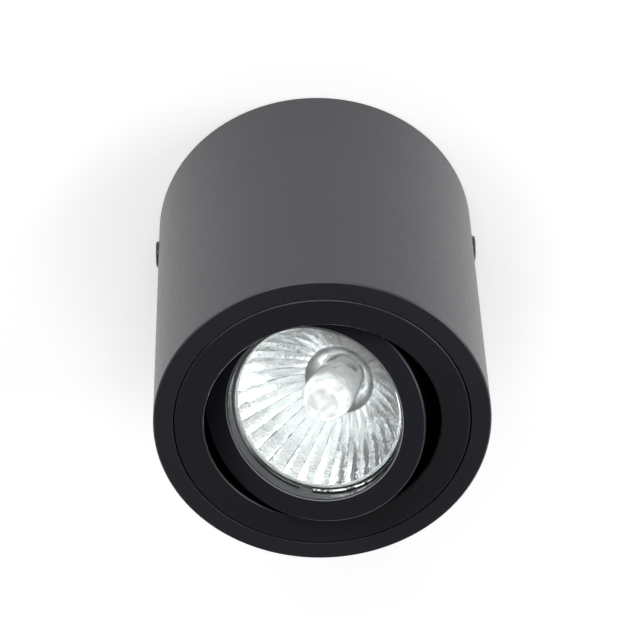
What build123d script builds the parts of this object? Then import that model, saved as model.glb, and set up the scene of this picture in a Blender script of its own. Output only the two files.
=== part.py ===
from build123d import *
import math
import os

# Surface mounted ceiling spotlight, in millimetres and as it hangs.  The ceiling is the
# plane z = 0 and the light points down, towards -Z.  A cylindrical housing slides over a
# steel bracket and is held by two side screws.  A trim ring sits in the housing's mouth,
# turns about Z on three leaf springs and carries a gimbal ring on two pivot screws.  The
# gimbal ring holds a 50 mm reflector lamp, which plugs into a ceramic lampholder.

# ---------------------------------------------------------------- housing
BODY_DIAMETER = 96.0        # outside of the housing
BODY_LENGTH = 102.4         # ceiling to front face
BODY_WALL = 2.5             # wall of the wide bore
BODY_EDGE = 0.4             # chamfer round the front and back edges
LEDGE_HEIGHT = 12.0         # front face to the shoulder that the springs hold behind

# ---------------------------------------------------------------- widths across the front
# From the housing's outside inwards to the lamp's rim.  Their sum with the room for the
# tilt is FRONT_WIDTH, and all of them follow the housing's and the lamp's diameters.
FRONT_WIDTH = 23.0          # lamp's rim to the housing's outside
MOUTH_RIM_WIDTH = 5.6       # flat rim seen from the front
LEDGE_WIDTH = 2.0           # step that the trim ring would land on
COLLAR_GAP = 2.4            # room for the springs between collar and ledge
COLLAR_WALL = 2.8
RING_BAND = 6.85            # gimbal ring, outside to bore
LAMP_CLEARANCE = 0.75       # ring's bore to the lamp's rim

# ---------------------------------------------------------------- heights behind the front
# The lamp's own lengths and the tie's drop follow the height above the pivots.
HANGING_HEIGHT = 93.13      # ceiling to the pivot axis

# ---------------------------------------------------------------- side screws and bracket
SIDE_SCREW_DROP = 11.2      # ceiling to the side screws
SIDE_HEAD_DIAMETER = 8.2
SIDE_HEAD_HEIGHT = 1.7
SIDE_HEAD_PROUD = 0.8       # how far the heads stand out of the housing
SIDE_THREAD_DIAMETER = 4.0
SIDE_SCREW_LENGTH = 9.0     # under the head
SIDE_HOLE_GAP = 0.2         # radial gap of the threads in the housing's holes
SIDE_SEAT_GAP = 0.15        # radial gap of the heads in their seats
STEEL_SHEET = 1.5           # bracket sheet
STRIP_WIDTH = 24.0
EAR_WIDTH = 16.0            # bent ears of the bracket
EAR_LENGTH = 18.0
EAR_CORNER_GAP = 0.3        # ear corners to the housing's bore
EAR_COLLAR_LENGTH = 1.6     # drawn collar for the thread
EAR_COLLAR_WALL = 1.3
STRIP_SHOULDER = 6.0        # the strip narrows this far before each ear
BEND_RADIUS = 2.2           # outside of the bends
SLOT_SPACING = 50.0         # between the two ceiling-screw slots
SLOT_WIDTH = 5.0
SLOT_TRAVEL = 7.0           # between the two end centres of a slot
INLET_DIAMETER = 14.0       # hole for the grommet
TAB_WIDTH = 31.0            # tab that carries the terminal block
TAB_MARGIN = 1.5            # tab beyond the block
PLAN_CORNER = 1.5           # rounded corners of the blank

# ---------------------------------------------------------------- grommet
CABLE_BORE_DIAMETER = 8.0
GROMMET_FLANGE_WIDTH = 2.0  # beyond the inlet hole
GROMMET_FLANGE_HEIGHT = 1.5

# ---------------------------------------------------------------- terminal block
POLE_PITCH = 9.0
POLE_COUNT = 3
BLOCK_DEPTH = 15.0          # along the wires
BLOCK_HEIGHT = 14.0
BLOCK_CENTRE_Y = 27.0
BLOCK_EDGE = 0.6
CLAMP_SIDE = 5.4            # square brass clamp
CLAMP_LENGTH = 12.0
CLAMP_BORE_DIAMETER = 3.2
WIRE_DROP = 9.0             # ceiling to the wires' centres
WIRE_ENTRY_DIAMETER = 3.4
CLAMP_SCREW_SPACING = 6.4
CLAMP_SCREW_DIAMETER = 2.6
CLAMP_HEAD_DIAMETER = 3.4
CLAMP_HEAD_HEIGHT = 2.0
BLOCK_SCREW_DIAMETER = 2.5
BLOCK_HEAD_DIAMETER = 4.4
BLOCK_HEAD_HEIGHT = 1.8
BLOCK_WEB = 0.8             # plastic between the clamps and those screws' heads
BLOCK_GROOVE = 2.2          # grooves between the poles

# ---------------------------------------------------------------- earth connection
EARTH_SCREW_X = -13.2
EARTH_THREAD_DIAMETER = 4.0
EARTH_HEAD_DIAMETER = 7.0
EARTH_HEAD_HEIGHT = 2.6
WASHER_THICKNESS = 0.6
WASHER_TEETH = 12
TAG_THICKNESS = 0.8
TAG_DIAMETER = 7.4
TAG_REACH = 5.6             # screw centre to the start of the crimp
CRIMP_LENGTH = 4.0
CRIMP_WALL = 0.45

# ---------------------------------------------------------------- leads
LEAD_DIAMETER = 2.4
CORE_DIAMETER = 1.2
LEAD_PITCH = 2.7            # between the two leads inside the tie
TIE_TOP_DROP = 21.5         # ceiling to the top of the tie
TIE_HEIGHT = 3.6
TIE_WALL = 1.0
ARC_SHARE = 0.45            # share of the shorter run that an arc may use
POLE_RUN = 5.0              # straight run out of a pole
TIE_RUN_ABOVE = 8.6         # straight run from the tie's middle up
TIE_RUN_BELOW = 6.0         # straight run from the tie's middle down
EARTH_LEAD_RUN = 2.4        # straight runs at the earth lead's ends
HOLDER_RUN = 9.5            # straight run out of the lampholder
BARED_LENGTH = 9.0          # bared ends in the terminal clamps
# Bends of the upper leads, as shares of the poles' pitch, the block's near face and the
# wires' drop.
LIVE_BEND = (0.733, 0.38, -1.178)
NEUTRAL_BEND = (-0.044, 0.39, -1.156)
# Bends of the lower leads between tie and lampholder, as shares of the holder's length,
# and of the way sideways and down from the tie's end to the holder's back.
LOWER_BENDS = [(0.287, 0.225, 0.725), (0.467, 0.626, 0.413), (0.36, 1.043, -0.064)]

# ---------------------------------------------------------------- trim ring
TRIM_GAP = 0.4              # groove between the trim ring and the housing's mouth
TRIM_PLATE = 2.5
TRIM_SEAT_GAP = 0.2         # under the plate, so that the ring turns freely
TRIM_EDGE = 0.3
OPENING_GAP = 0.165         # opening to the corner of the tilting ring
COLLAR_DROP = 0.8           # the collar ends this far below the shoulder
LUG_WIDTH = 10.0            # pivot lugs behind the plate
LUG_ABOVE_PIVOT = 4.4

# ---------------------------------------------------------------- leaf springs
SPRING_COUNT = 3
SPRING_WIDTH = 7.0
SPRING_THICKNESS = 0.5
SPRING_FOOT = 3.2           # front face to the foot of a spring
SPRING_CREST = 2.0          # how far the crest reaches past the ledge
SPRING_TAIL_RISE = 7.0
SPRING_TAIL_RETURN = 3.6
SPRING_GAP = 0.2            # spring to the shoulder's corner
SPRING_BEND = 1.6
SPRING_FLAT_DEPTH = 0.4     # flats filed on the collar
SPRING_FLAT_MARGIN = 0.5    # flats beyond the springs at each side
SPRING_SCREW_HEIGHT = 6.1   # front face to the spring screws
SPRING_SCREW_DIAMETER = 2.0
SPRING_HEAD_DIAMETER = 3.8
SPRING_HEAD_HEIGHT = 1.2
SPRING_SCREW_LENGTH = 2.6

# ---------------------------------------------------------------- pivots and tilt
PIVOT_DEPTH = 9.27          # front face of the housing to the pivot axis
PIVOT_ANGLE = 127.2         # where the pivot axis points, about Z from +X
REST_TILT = 22.75           # tilt in which the light is shown
PIN_DIAMETER = 3.0
PIN_FIT = 0.05              # radial running clearance of the pins
PIN_HEAD_DIAMETER = 5.2
PIN_HEAD_HEIGHT = 1.6
PIN_HEAD_SUNK = 0.4
PIN_ENGAGEMENT = 3.4        # inside the gimbal ring's boss
PIN_END_GAP = 0.3
FRICTION_WASHER_DIAMETER = 6.4
FRICTION_WASHER_GAP = 0.12  # each side of the washer

# ---------------------------------------------------------------- gimbal ring
RING_PIVOT = 7.65           # front face of the ring to its pivot axis
RING_PLATE = 2.6
RING_SKIRT_LENGTH = 7.5
RING_SKIRT_WALL = 2.0
RING_WALL = 2.2             # wall round the lamp
RING_EDGE = 0.3
SEAT_WIDTH = 1.7            # lip behind the lamp's rim
SEAT_THICKNESS = 2.0
BOSS_WIDTH = 9.0
BOSS_ABOVE_PIVOT = 4.4
BOSS_FLAT = 0.35            # boss face inside the ring's outside
WIRE_DIAMETER = 1.2         # lamp retaining wire
WIRE_GROOVE_DEPTH = 0.3
WIRE_GAP_ANGLE = 9.0        # opening between the wire's ends
WIRE_GAP_DIRECTION = 330.0  # where it lies, from the pivot axis

# ---------------------------------------------------------------- lamp
LAMP_DIAMETER = 50.0
LAMP_SETBACK = 5.5          # ring's front face to the lamp's glass
LAMP_LENGTH = 46.0          # glass to the shoulder of the base
GLASS_INSET = 0.4           # front glass inside the lamp's rim
GLASS_THICKNESS = 1.6
GLASS_EDGE = 0.7            # rounding of its front edge
RIM_THICKNESS = 1.65
RIM_STEP = 1.3              # rim beyond the bowl behind it
FLUTE_COUNT = 32
BOWL_MOUTH_WALL = 1.1       # rim to the mirror at the mouth
BOWL_FLUTED_DEPTH = 20.4    # fluted stretch of the mirror
BOWL_THROAT_DIAMETER = 20.0  # where the flutes end
BOWL_STATIONS = 5           # rings of facets down the bowl
NECK_BORE_DIAMETER = 12.0
NECK_WALL = 2.4
NECK_LENGTH = 7.0
BASE_WALL = 2.0
BASE_JOINT_GAP = 0.1
BASE_EDGE = 0.8
BASE_FLOOR = 5.5
BURNER_DIAMETER = 14.4
BURNER_WALL = 0.8
BURNER_GAP = 0.8            # glass to the burner's tip
BURNER_LENGTH = 20.6        # tip to the pinch
PINCH_WIDTH = 7.0
PINCH_THICKNESS = 2.4
PINCH_LENGTH = 12.4
PINCH_ROOT = 2.0            # solid quartz between bulb and pinch
CEMENT_HEIGHT = 3.0
FILAMENT_DIAMETER = 1.5
FILAMENT_LENGTH = 6.5
FILAMENT_DEPTH = 9.0        # burner's tip to the filament
BURNER_WIRE_DIAMETER = 0.6
BURNER_WIRE_SPACING = 3.4
BASE_PIN_SPACING = 10.0
BASE_PIN_NECK = 3.0
BASE_PIN_HEAD = 5.0
BASE_PIN_NECK_LENGTH = 3.3
BASE_PIN_LENGTH = 7.0
BASE_PIN_ROOT = 4.4

# ---------------------------------------------------------------- lampholder
HOLDER_LENGTH = 30.0
HOLDER_WIDTH = 17.5
HOLDER_BODY = 16.8
HOLDER_GAP = 0.1            # lamp's shoulder to the holder
HOLDER_EDGE = 0.6
HOLDER_COVER = 1.2
POCKET_CLEARANCE = 0.3
POCKET_DEPTH = 8.1
POCKET_TURN = 34.0          # twist of the bayonet slots
RECESS_LENGTH = 18.4
RECESS_WIDTH = 12.4
RECESS_DEPTH = 6.0
CONTACT_SHEET = 0.5
CONTACT_WIDTH = 3.6
CONTACT_STEM_WIDTH = 1.8
CONTACT_GAP = 0.1
CONTACT_CRIMP_LENGTH = 2.8
HOLDER_SCREW_SPACING = 24.0
HOLDER_SCREW_DIAMETER = 2.4
HOLDER_HEAD_DIAMETER = 4.2
HOLDER_HEAD_HEIGHT = 1.4
HOLDER_SCREW_LENGTH = 7.0
LEAD_HOLE_CLEARANCE = 0.15
LEAD_TUCK = 1.0             # lead inside the holder's cover

# ---------------------------------------------------------------- fits
FIT = 0.05                  # radial gap of pieces that are fixed in each other
CUT = 1.0                   # how far a cutting tool passes through

# ---------------------------------------------------------------- worked out
BODY_R = BODY_DIAMETER / 2
LAMP_R = LAMP_DIAMETER / 2
BORE_R = BODY_R - BODY_WALL
ACROSS = (BODY_R - LAMP_R) / FRONT_WIDTH
MOUTH_R = BODY_R - MOUTH_RIM_WIDTH * ACROSS
LEDGE_R = MOUTH_R - LEDGE_WIDTH * ACROSS
COLLAR_R = LEDGE_R - COLLAR_GAP * ACROSS
COLLAR_BORE_R = COLLAR_R - COLLAR_WALL * ACROSS
RING_BORE_R = LAMP_R + LAMP_CLEARANCE * ACROSS
RING_R = RING_BORE_R + RING_BAND * ACROSS
TRIM_R = MOUTH_R - TRIM_GAP
OPENING_R = math.hypot(RING_R, RING_PIVOT) + OPENING_GAP
FRONT_Z = -BODY_LENGTH
PIVOT_Z = FRONT_Z + PIVOT_DEPTH
SHOULDER_Z = FRONT_Z + LEDGE_HEIGHT
ALONG = -PIVOT_Z / HANGING_HEIGHT
EAR_X = math.sqrt((BORE_R - EAR_CORNER_GAP) ** 2 - (EAR_WIDTH / 2) ** 2)
BLOCK_LENGTH = POLE_PITCH * POLE_COUNT
BLOCK_TOP = -STEEL_SHEET
BLOCK_NEAR_Y = BLOCK_CENTRE_Y - BLOCK_DEPTH / 2
RIM_TOP = LAMP_SETBACK + GLASS_THICKNESS
SHOULDER_S = LAMP_SETBACK + LAMP_LENGTH * ALONG
HOLDER_S = SHOULDER_S + HOLDER_GAP
COVER_S = HOLDER_S + HOLDER_BODY
HOLDER_BACK_S = COVER_S + HOLDER_COVER
NECK_R = NECK_BORE_DIAMETER / 2
THROAT_R = BOWL_THROAT_DIAMETER / 2
BOWL_MOUTH_R = LAMP_R - BOWL_MOUTH_WALL
FLUTED_DEPTH = BOWL_FLUTED_DEPTH * ALONG
THROAT_S = RIM_TOP + FLUTED_DEPTH
BOWL_RATE = (BOWL_MOUTH_R ** 2 - THROAT_R ** 2) / FLUTED_DEPTH
BOWL_END_S = THROAT_S + (THROAT_R ** 2 - NECK_R ** 2) / BOWL_RATE
NECK_END_S = BOWL_END_S + NECK_LENGTH * ALONG
BURNER_TIP_S = RIM_TOP + BURNER_GAP
BURNER_END_S = BURNER_TIP_S + BURNER_LENGTH * ALONG
PINCH_END_S = BURNER_END_S + PINCH_LENGTH * ALONG
FILAMENT_S = BURNER_TIP_S + FILAMENT_DEPTH * ALONG

# The trim insert is drawn with its pivots on X, and the lamp with its axis on Z and the
# gimbal ring's front face at zero: heights in the lamp's frame count backwards from there.
INSERT = Rot(0, 0, PIVOT_ANGLE)
CARRIER = Pos(0, 0, PIVOT_Z) * INSERT * Rot(REST_TILT, 0, 0) * Pos(0, 0, -RING_PIVOT)

# Routes of the leads: the upper pair in the housing's frame, the lower pair in the
# insert's frame up to the lampholder, each ending straight into what it meets.
TIE_TOP_Z = -TIE_TOP_DROP * ALONG
TIE_MIDDLE_Z = TIE_TOP_Z - TIE_HEIGHT / 2
LEAD_END_S = COVER_S - LEAD_TUCK
EARTH_POLE = 0
NEUTRAL_POLE = 1
LIVE_POLE = 2


def place(location, point):
    """Return the point moved by the location, as a vector."""
    return (location * Pos(*point)).position


def lead_start(side):
    """Return where a lead of the pair meets its other half inside the tie."""
    return place(INSERT, (side * LEAD_PITCH / 2, 0, TIE_MIDDLE_Z))


def pole_x(index):
    """Return the x of a pole of the terminal block, counted from -X."""
    return (index - (POLE_COUNT - 1) / 2) * POLE_PITCH


def pole_face(index):
    """Return where a lead meets its pole on the near face of the terminal block."""
    return Vector(pole_x(index), BLOCK_NEAR_Y, -WIRE_DROP)


# ---------------------------------------------------------------- helpers
def turned(*profile):
    """Return the solid that a closed outline of (radius, height) points turns about Z."""
    outline = make_face(Polyline(*profile, close=True))
    return revolve(Plane.XZ * outline, Axis.Z)


def disc(radius, low, high):
    """Return an upright cylinder between two heights."""
    return Pos(0, 0, (low + high) / 2) * Cylinder(radius, high - low)


def block(size_x, size_y, low, high):
    """Return an upright block between two heights, centred on Z."""
    return Pos(0, 0, (low + high) / 2) * Box(size_x, size_y, high - low)


def prism(sketch, low, high):
    """Return a flat sketch extruded between two heights."""
    return extrude(Pos(0, 0, low) * sketch, high - low)


def screw(head_diameter, head_height, thread_diameter, length):
    """Return a cross-headed screw along -Z, with the underside of its head at zero."""
    head_r = head_diameter / 2
    crown = 0.25 * head_height
    head = turned(
        (0, 0),
        (head_r, 0),
        (head_r, head_height - crown),
        (head_r - crown, head_height),
        (0, head_height),
    )
    shank = disc(thread_diameter / 2, -length, 0)
    slot_long = 1.15 * head_r
    slot_wide = 0.22 * head_r
    slot_low = 0.45 * head_height
    recess = block(slot_long, slot_wide, slot_low, head_height + CUT)
    recess += block(slot_wide, slot_long, slot_low, head_height + CUT)
    return head + shank - recess


def tube(name, points, diameter):
    """Return a round lead along runs joined by tangent arcs, and print its radii."""
    radii = []
    for before, corner, after in zip(points, points[1:], points[2:]):
        inward = corner - before
        onward = after - corner
        half_turn = math.radians(inward.get_angle(onward)) / 2
        shorter = min(inward.length, onward.length)
        radii.append(ARC_SHARE * shorter / math.tan(half_turn))
    path = FilletPolyline(*points, radius=radii)
    section = Plane(origin=path @ 0, z_dir=path % 0) * Circle(diameter / 2)
    lead = sweep(section, path=path)
    expected = math.pi * diameter ** 2 / 4 * path.length
    print(
        name,
        "length", round(path.length, 1),
        "radii", [round(radius, 1) for radius in radii],
        "volume share", round(lead.volume / expected, 4),
    )
    return lead


def group(pieces):
    """Return several separate solids as one compound."""
    return Compound(children=[solid for piece in pieces for solid in piece.solids()])


# ---------------------------------------------------------------- housing and bracket
def side_screw_seat():
    """Return how far from the axis the side screws' heads are seated."""
    return BODY_R + SIDE_HEAD_PROUD - SIDE_HEAD_HEIGHT


def along_x(angle, height):
    """Return the frame whose +Z points outwards along a radius at a given height."""
    return Pos(0, 0, height) * Rot(0, 0, angle) * Rot(0, 90, 0)


def make_housing():
    """Return the cylindrical housing with its ledge and its two screw seats."""
    low_ledge_z = FRONT_Z + TRIM_PLATE + TRIM_SEAT_GAP
    housing = turned(
        (BORE_R, 0),
        (BODY_R - BODY_EDGE, 0),
        (BODY_R, -BODY_EDGE),
        (BODY_R, FRONT_Z + BODY_EDGE),
        (BODY_R - BODY_EDGE, FRONT_Z),
        (MOUTH_R, FRONT_Z),
        (MOUTH_R, low_ledge_z),
        (LEDGE_R, low_ledge_z),
        (LEDGE_R, SHOULDER_Z),
        (BORE_R, SHOULDER_Z),
    )
    for angle in (0, 180):
        frame = along_x(angle, -SIDE_SCREW_DROP)
        hole_r = SIDE_THREAD_DIAMETER / 2 + SIDE_HOLE_GAP
        housing -= frame * disc(hole_r, BORE_R - CUT, BODY_R + CUT)
        seat_r = SIDE_HEAD_DIAMETER / 2 + SIDE_SEAT_GAP
        housing -= frame * disc(seat_r, side_screw_seat(), BODY_R + CUT)
    return housing


def make_side_screws():
    """Return the two screws that hold the housing on the bracket."""
    one = screw(SIDE_HEAD_DIAMETER, SIDE_HEAD_HEIGHT, SIDE_THREAD_DIAMETER, SIDE_SCREW_LENGTH)
    seats = [along_x(angle, -SIDE_SCREW_DROP) * Pos(0, 0, side_screw_seat()) for angle in (0, 180)]
    return group([seat * one for seat in seats])


def make_bracket():
    """Return the bent steel bracket with its slots, inlet, tab and threaded ears."""
    outer = Pos(0, -EAR_LENGTH / 2) * Rectangle(2 * EAR_X, EAR_LENGTH)
    outer = fillet(outer.vertices().group_by(Axis.Y)[-1], BEND_RADIUS)
    inner_width = 2 * (EAR_X - STEEL_SHEET)
    inner = Pos(0, -STEEL_SHEET - EAR_LENGTH / 2) * Rectangle(inner_width, EAR_LENGTH)
    inner = fillet(inner.vertices().group_by(Axis.Y)[-1], BEND_RADIUS - STEEL_SHEET)
    bent = extrude(Plane.XZ * (outer - inner), BODY_R, both=True)

    tab_far = BLOCK_CENTRE_Y + BLOCK_DEPTH / 2 + TAB_MARGIN
    plan = Rectangle(2 * EAR_X + CUT, EAR_WIDTH)
    plan += RectangleRounded(2 * (EAR_X - STRIP_SHOULDER), STRIP_WIDTH, PLAN_CORNER)
    plan += Pos(0, tab_far / 2) * RectangleRounded(TAB_WIDTH, tab_far, PLAN_CORNER)
    plan -= Circle(INLET_DIAMETER / 2)
    for side in (-1, 1):
        plan -= Pos(side * SLOT_SPACING / 2, 0) * SlotCenterToCenter(SLOT_TRAVEL, SLOT_WIDTH)
    bracket = bent & prism(plan, -EAR_LENGTH - CUT, CUT)

    bracket -= Pos(EARTH_SCREW_X, 0) * disc(EARTH_THREAD_DIAMETER / 2 + FIT, -STEEL_SHEET - CUT, CUT)
    for x in block_screw_xs():
        hole = disc(BLOCK_SCREW_DIAMETER / 2 + FIT, -STEEL_SHEET - CUT, CUT)
        bracket -= Pos(x, BLOCK_CENTRE_Y) * hole
    thread_r = SIDE_THREAD_DIAMETER / 2 + FIT
    ear_face = EAR_X - STEEL_SHEET
    for angle in (0, 180):
        frame = along_x(angle, -SIDE_SCREW_DROP)
        bracket += frame * disc(thread_r + EAR_COLLAR_WALL, ear_face - EAR_COLLAR_LENGTH, ear_face)
        bracket -= frame * disc(thread_r, ear_face - EAR_COLLAR_LENGTH - CUT, EAR_X + CUT)
    return bracket


def make_grommet():
    """Return the rubber grommet that lines the cable inlet."""
    outer_r = INLET_DIAMETER / 2
    flange_z = -STEEL_SHEET - GROMMET_FLANGE_HEIGHT
    bore_r = CABLE_BORE_DIAMETER / 2
    return turned(
        (bore_r, 0),
        (outer_r - FIT, 0),
        (outer_r - FIT, -STEEL_SHEET),
        (outer_r + GROMMET_FLANGE_WIDTH, -STEEL_SHEET),
        (outer_r + GROMMET_FLANGE_WIDTH, flange_z + BODY_EDGE),
        (outer_r + GROMMET_FLANGE_WIDTH - BODY_EDGE, flange_z),
        (bore_r, flange_z),
    )


# ---------------------------------------------------------------- terminal block and earth
def block_screw_xs():
    """Return the x of the screws between the poles of the terminal block."""
    return [(pole_x(index) + pole_x(index + 1)) / 2 for index in range(POLE_COUNT - 1)]


def clamp_frame(index):
    """Return the frame at the centre of a pole's clamp, with +Z along the wire."""
    return Pos(pole_x(index), BLOCK_CENTRE_Y, -WIRE_DROP) * Rot(-90, 0, 0)


def clamp_screw_spots():
    """Return where the clamp screws go, each as (x, y)."""
    offsets = (-CLAMP_SCREW_SPACING / 2, CLAMP_SCREW_SPACING / 2)
    return [(pole_x(i), BLOCK_CENTRE_Y + offset) for i in range(POLE_COUNT) for offset in offsets]


def make_terminal_block():
    """Return the insulating body of the terminal block."""
    block_low = BLOCK_TOP - BLOCK_HEIGHT
    body = Pos(0, BLOCK_CENTRE_Y) * block(BLOCK_LENGTH, BLOCK_DEPTH, block_low, BLOCK_TOP)
    body = chamfer(body.edges().filter_by(Axis.Z), BLOCK_EDGE)
    for index in range(POLE_COUNT):
        frame = clamp_frame(index)
        side = CLAMP_SIDE + 2 * FIT
        body -= frame * block(side, side, -CLAMP_LENGTH / 2 - FIT, CLAMP_LENGTH / 2 + FIT)
        body -= frame * disc(WIRE_ENTRY_DIAMETER / 2, -BLOCK_DEPTH / 2 - CUT, BLOCK_DEPTH / 2 + CUT)
    for x, y in clamp_screw_spots():
        body -= Pos(x, y) * disc(CLAMP_HEAD_DIAMETER / 2 + FIT, block_low - CUT, -WIRE_DROP)
    for index in range(POLE_COUNT - 1):
        x = block_screw_xs()[index]
        groove = block(BLOCK_GROOVE, BLOCK_DEPTH + CUT, block_low - CUT, block_low + BLOCK_GROOVE)
        body -= Pos(x, BLOCK_CENTRE_Y) * groove
        body -= Pos(x, BLOCK_CENTRE_Y) * disc(BLOCK_SCREW_DIAMETER / 2 + FIT, block_low, CUT)
        head_room = disc(BLOCK_HEAD_DIAMETER / 2 + FIT, block_low - CUT, block_screw_seat())
        body -= Pos(x, BLOCK_CENTRE_Y) * head_room
    return body


def block_screw_seat():
    """Return the height at which the block's screws are seated."""
    return -WIRE_DROP - CLAMP_SIDE / 2 - BLOCK_WEB


def make_terminal_clamps():
    """Return the brass clamps inside the terminal block."""
    clamps = []
    for index in range(POLE_COUNT):
        clamp = block(CLAMP_SIDE, CLAMP_SIDE, -CLAMP_LENGTH / 2, CLAMP_LENGTH / 2)
        clamp -= disc(CLAMP_BORE_DIAMETER / 2, -CLAMP_LENGTH, CLAMP_LENGTH)
        clamps.append(clamp_frame(index) * clamp)
    for index, (x, y) in enumerate(clamp_screw_spots()):
        hole = disc(CLAMP_SCREW_DIAMETER / 2 + FIT, -WIRE_DROP - CLAMP_SIDE, -WIRE_DROP)
        clamps[index // 2] -= Pos(x, y) * hole
    return group(clamps)


def make_terminal_screws():
    """Return the clamp screws, which bear on the wires from below."""
    length = CLAMP_SIDE / 2 - CORE_DIAMETER / 2 - FIT
    one = screw(CLAMP_HEAD_DIAMETER, CLAMP_HEAD_HEIGHT, CLAMP_SCREW_DIAMETER, length)
    seat = -WIRE_DROP - CLAMP_SIDE / 2
    return group([Pos(x, y, seat) * Rot(180, 0, 0) * one for x, y in clamp_screw_spots()])


def make_block_screws():
    """Return the screws that hold the terminal block on the bracket's tab."""
    seat = block_screw_seat()
    one = screw(BLOCK_HEAD_DIAMETER, BLOCK_HEAD_HEIGHT, BLOCK_SCREW_DIAMETER, -seat)
    return group([Pos(x, BLOCK_CENTRE_Y, seat) * Rot(180, 0, 0) * one for x in block_screw_xs()])


def make_earth_washer():
    """Return the serrated washer between the earth tag and the bracket."""
    outer_r = EARTH_HEAD_DIAMETER / 2
    washer = disc(outer_r, -STEEL_SHEET - WASHER_THICKNESS, -STEEL_SHEET)
    washer -= disc(EARTH_THREAD_DIAMETER / 2 + FIT, -STEEL_SHEET - CUT - WASHER_THICKNESS, CUT)
    notch = block(outer_r / 3, outer_r / 6, -STEEL_SHEET - CUT, CUT)
    for location in PolarLocations(outer_r, WASHER_TEETH):
        washer -= location * notch
    return Pos(EARTH_SCREW_X, 0) * washer


def crimp_frame():
    """Return the frame at the near end of the earth tag's crimp, with +Z along the lead."""
    drop = tag_low() + TAG_THICKNESS - LEAD_DIAMETER / 2 - CRIMP_WALL
    return Pos(EARTH_SCREW_X, TAG_REACH, drop) * Rot(-90, 0, 0)


def tag_low():
    """Return the height of the earth tag's underside."""
    return -STEEL_SHEET - WASHER_THICKNESS - TAG_THICKNESS


def make_earth_tag():
    """Return the ring tag with its crimp."""
    high = tag_low() + TAG_THICKNESS
    crimp_r = LEAD_DIAMETER / 2 + CRIMP_WALL
    eye = disc(TAG_DIAMETER / 2, tag_low(), high)
    neck = Pos(0, TAG_REACH / 2) * block(crimp_r * 2, TAG_REACH, tag_low(), high)
    tag = Pos(EARTH_SCREW_X, 0) * (eye + neck)
    tag += crimp_frame() * disc(crimp_r, 0, CRIMP_LENGTH)
    tag -= crimp_frame() * disc(LEAD_DIAMETER / 2 + FIT, FIT, CRIMP_LENGTH + CUT)
    return tag - Pos(EARTH_SCREW_X, 0) * disc(EARTH_THREAD_DIAMETER / 2 + FIT, tag_low() - CUT, CUT)


def make_earth_screw():
    """Return the screw that clamps the earth tag on the bracket."""
    one = screw(EARTH_HEAD_DIAMETER, EARTH_HEAD_HEIGHT, EARTH_THREAD_DIAMETER, -tag_low())
    return Pos(EARTH_SCREW_X, 0, tag_low()) * Rot(180, 0, 0) * one


# ---------------------------------------------------------------- leads
def make_earth_lead():
    """Return the earth lead from the tag's crimp to the first pole."""
    start = place(crimp_frame(), (0, 0, 2 * FIT))
    out_of_crimp = place(crimp_frame(), (0, 0, CRIMP_LENGTH + EARTH_LEAD_RUN))
    end = pole_face(EARTH_POLE)
    into_pole = end - Vector(0, EARTH_LEAD_RUN, 0)
    return tube("earth_lead", [start, out_of_crimp, into_pole, end], LEAD_DIAMETER)


def make_upper_lead(name, side, pole, bend):
    """Return one lead from its pole down to the middle of the tie."""
    start = pole_face(pole)
    end = lead_start(side)
    across, forward, down = bend
    corner = Vector(across * POLE_PITCH, forward * BLOCK_NEAR_Y, down * WIRE_DROP)
    out_of_pole = start - Vector(0, POLE_RUN, 0)
    above_tie = end + Vector(0, 0, TIE_RUN_ABOVE * ALONG)
    return tube(name, [start, out_of_pole, corner, above_tie, end], LEAD_DIAMETER)


def make_lower_lead(name, side):
    """Return one lead from the middle of the tie to the lampholder, in a loose loop."""
    contact_x = side * BASE_PIN_SPACING / 2
    end = place(CARRIER, (contact_x, 0, LEAD_END_S))
    above_end = place(CARRIER, (contact_x, 0, LEAD_END_S + HOLDER_RUN))
    start = lead_start(side)
    below_tie = start - Vector(0, 0, TIE_RUN_BELOW * ALONG)
    tie_end_z = TIE_TOP_Z - TIE_HEIGHT
    back = place(INSERT.inverse() * CARRIER, (0, 0, HOLDER_BACK_S))
    loop = []
    for across, away, down in LOWER_BENDS:
        height = tie_end_z + down * (back.Z - tie_end_z)
        loop.append(place(INSERT, (side * across * HOLDER_LENGTH, away * back.Y, height)))
    return tube(name, [start, below_tie, *loop, above_end, end], LEAD_DIAMETER)


def make_lead_tie():
    """Return the tie that binds the two leads on the housing's axis."""
    inner = SlotCenterToCenter(LEAD_PITCH, LEAD_DIAMETER + 2 * FIT)
    outer = SlotCenterToCenter(LEAD_PITCH, LEAD_DIAMETER + 2 * FIT + 2 * TIE_WALL)
    return INSERT * prism(outer - inner, TIE_TOP_Z - TIE_HEIGHT, TIE_TOP_Z)


def make_conductor_ends():
    """Return the bared copper ends of the leads inside the terminal clamps."""
    one = disc(CORE_DIAMETER / 2, -BLOCK_DEPTH / 2, BARED_LENGTH - BLOCK_DEPTH / 2)
    return group([clamp_frame(index) * one for index in range(POLE_COUNT)])


# ---------------------------------------------------------------- trim insert
def spring_angles():
    """Return where the springs stand about Z, in the insert's frame."""
    return [90 + 360 * index / SPRING_COUNT for index in range(SPRING_COUNT)]


def washer_seat():
    """Return how far from the axis the pivot lugs face the gimbal ring."""
    return OPENING_R


def boss_face():
    """Return how far from the axis the gimbal ring's bosses end."""
    return RING_R - BOSS_FLAT


def pin_seat():
    """Return how far from the axis the pivot screws' heads are seated."""
    return COLLAR_R - PIN_HEAD_SUNK - PIN_HEAD_HEIGHT


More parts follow.
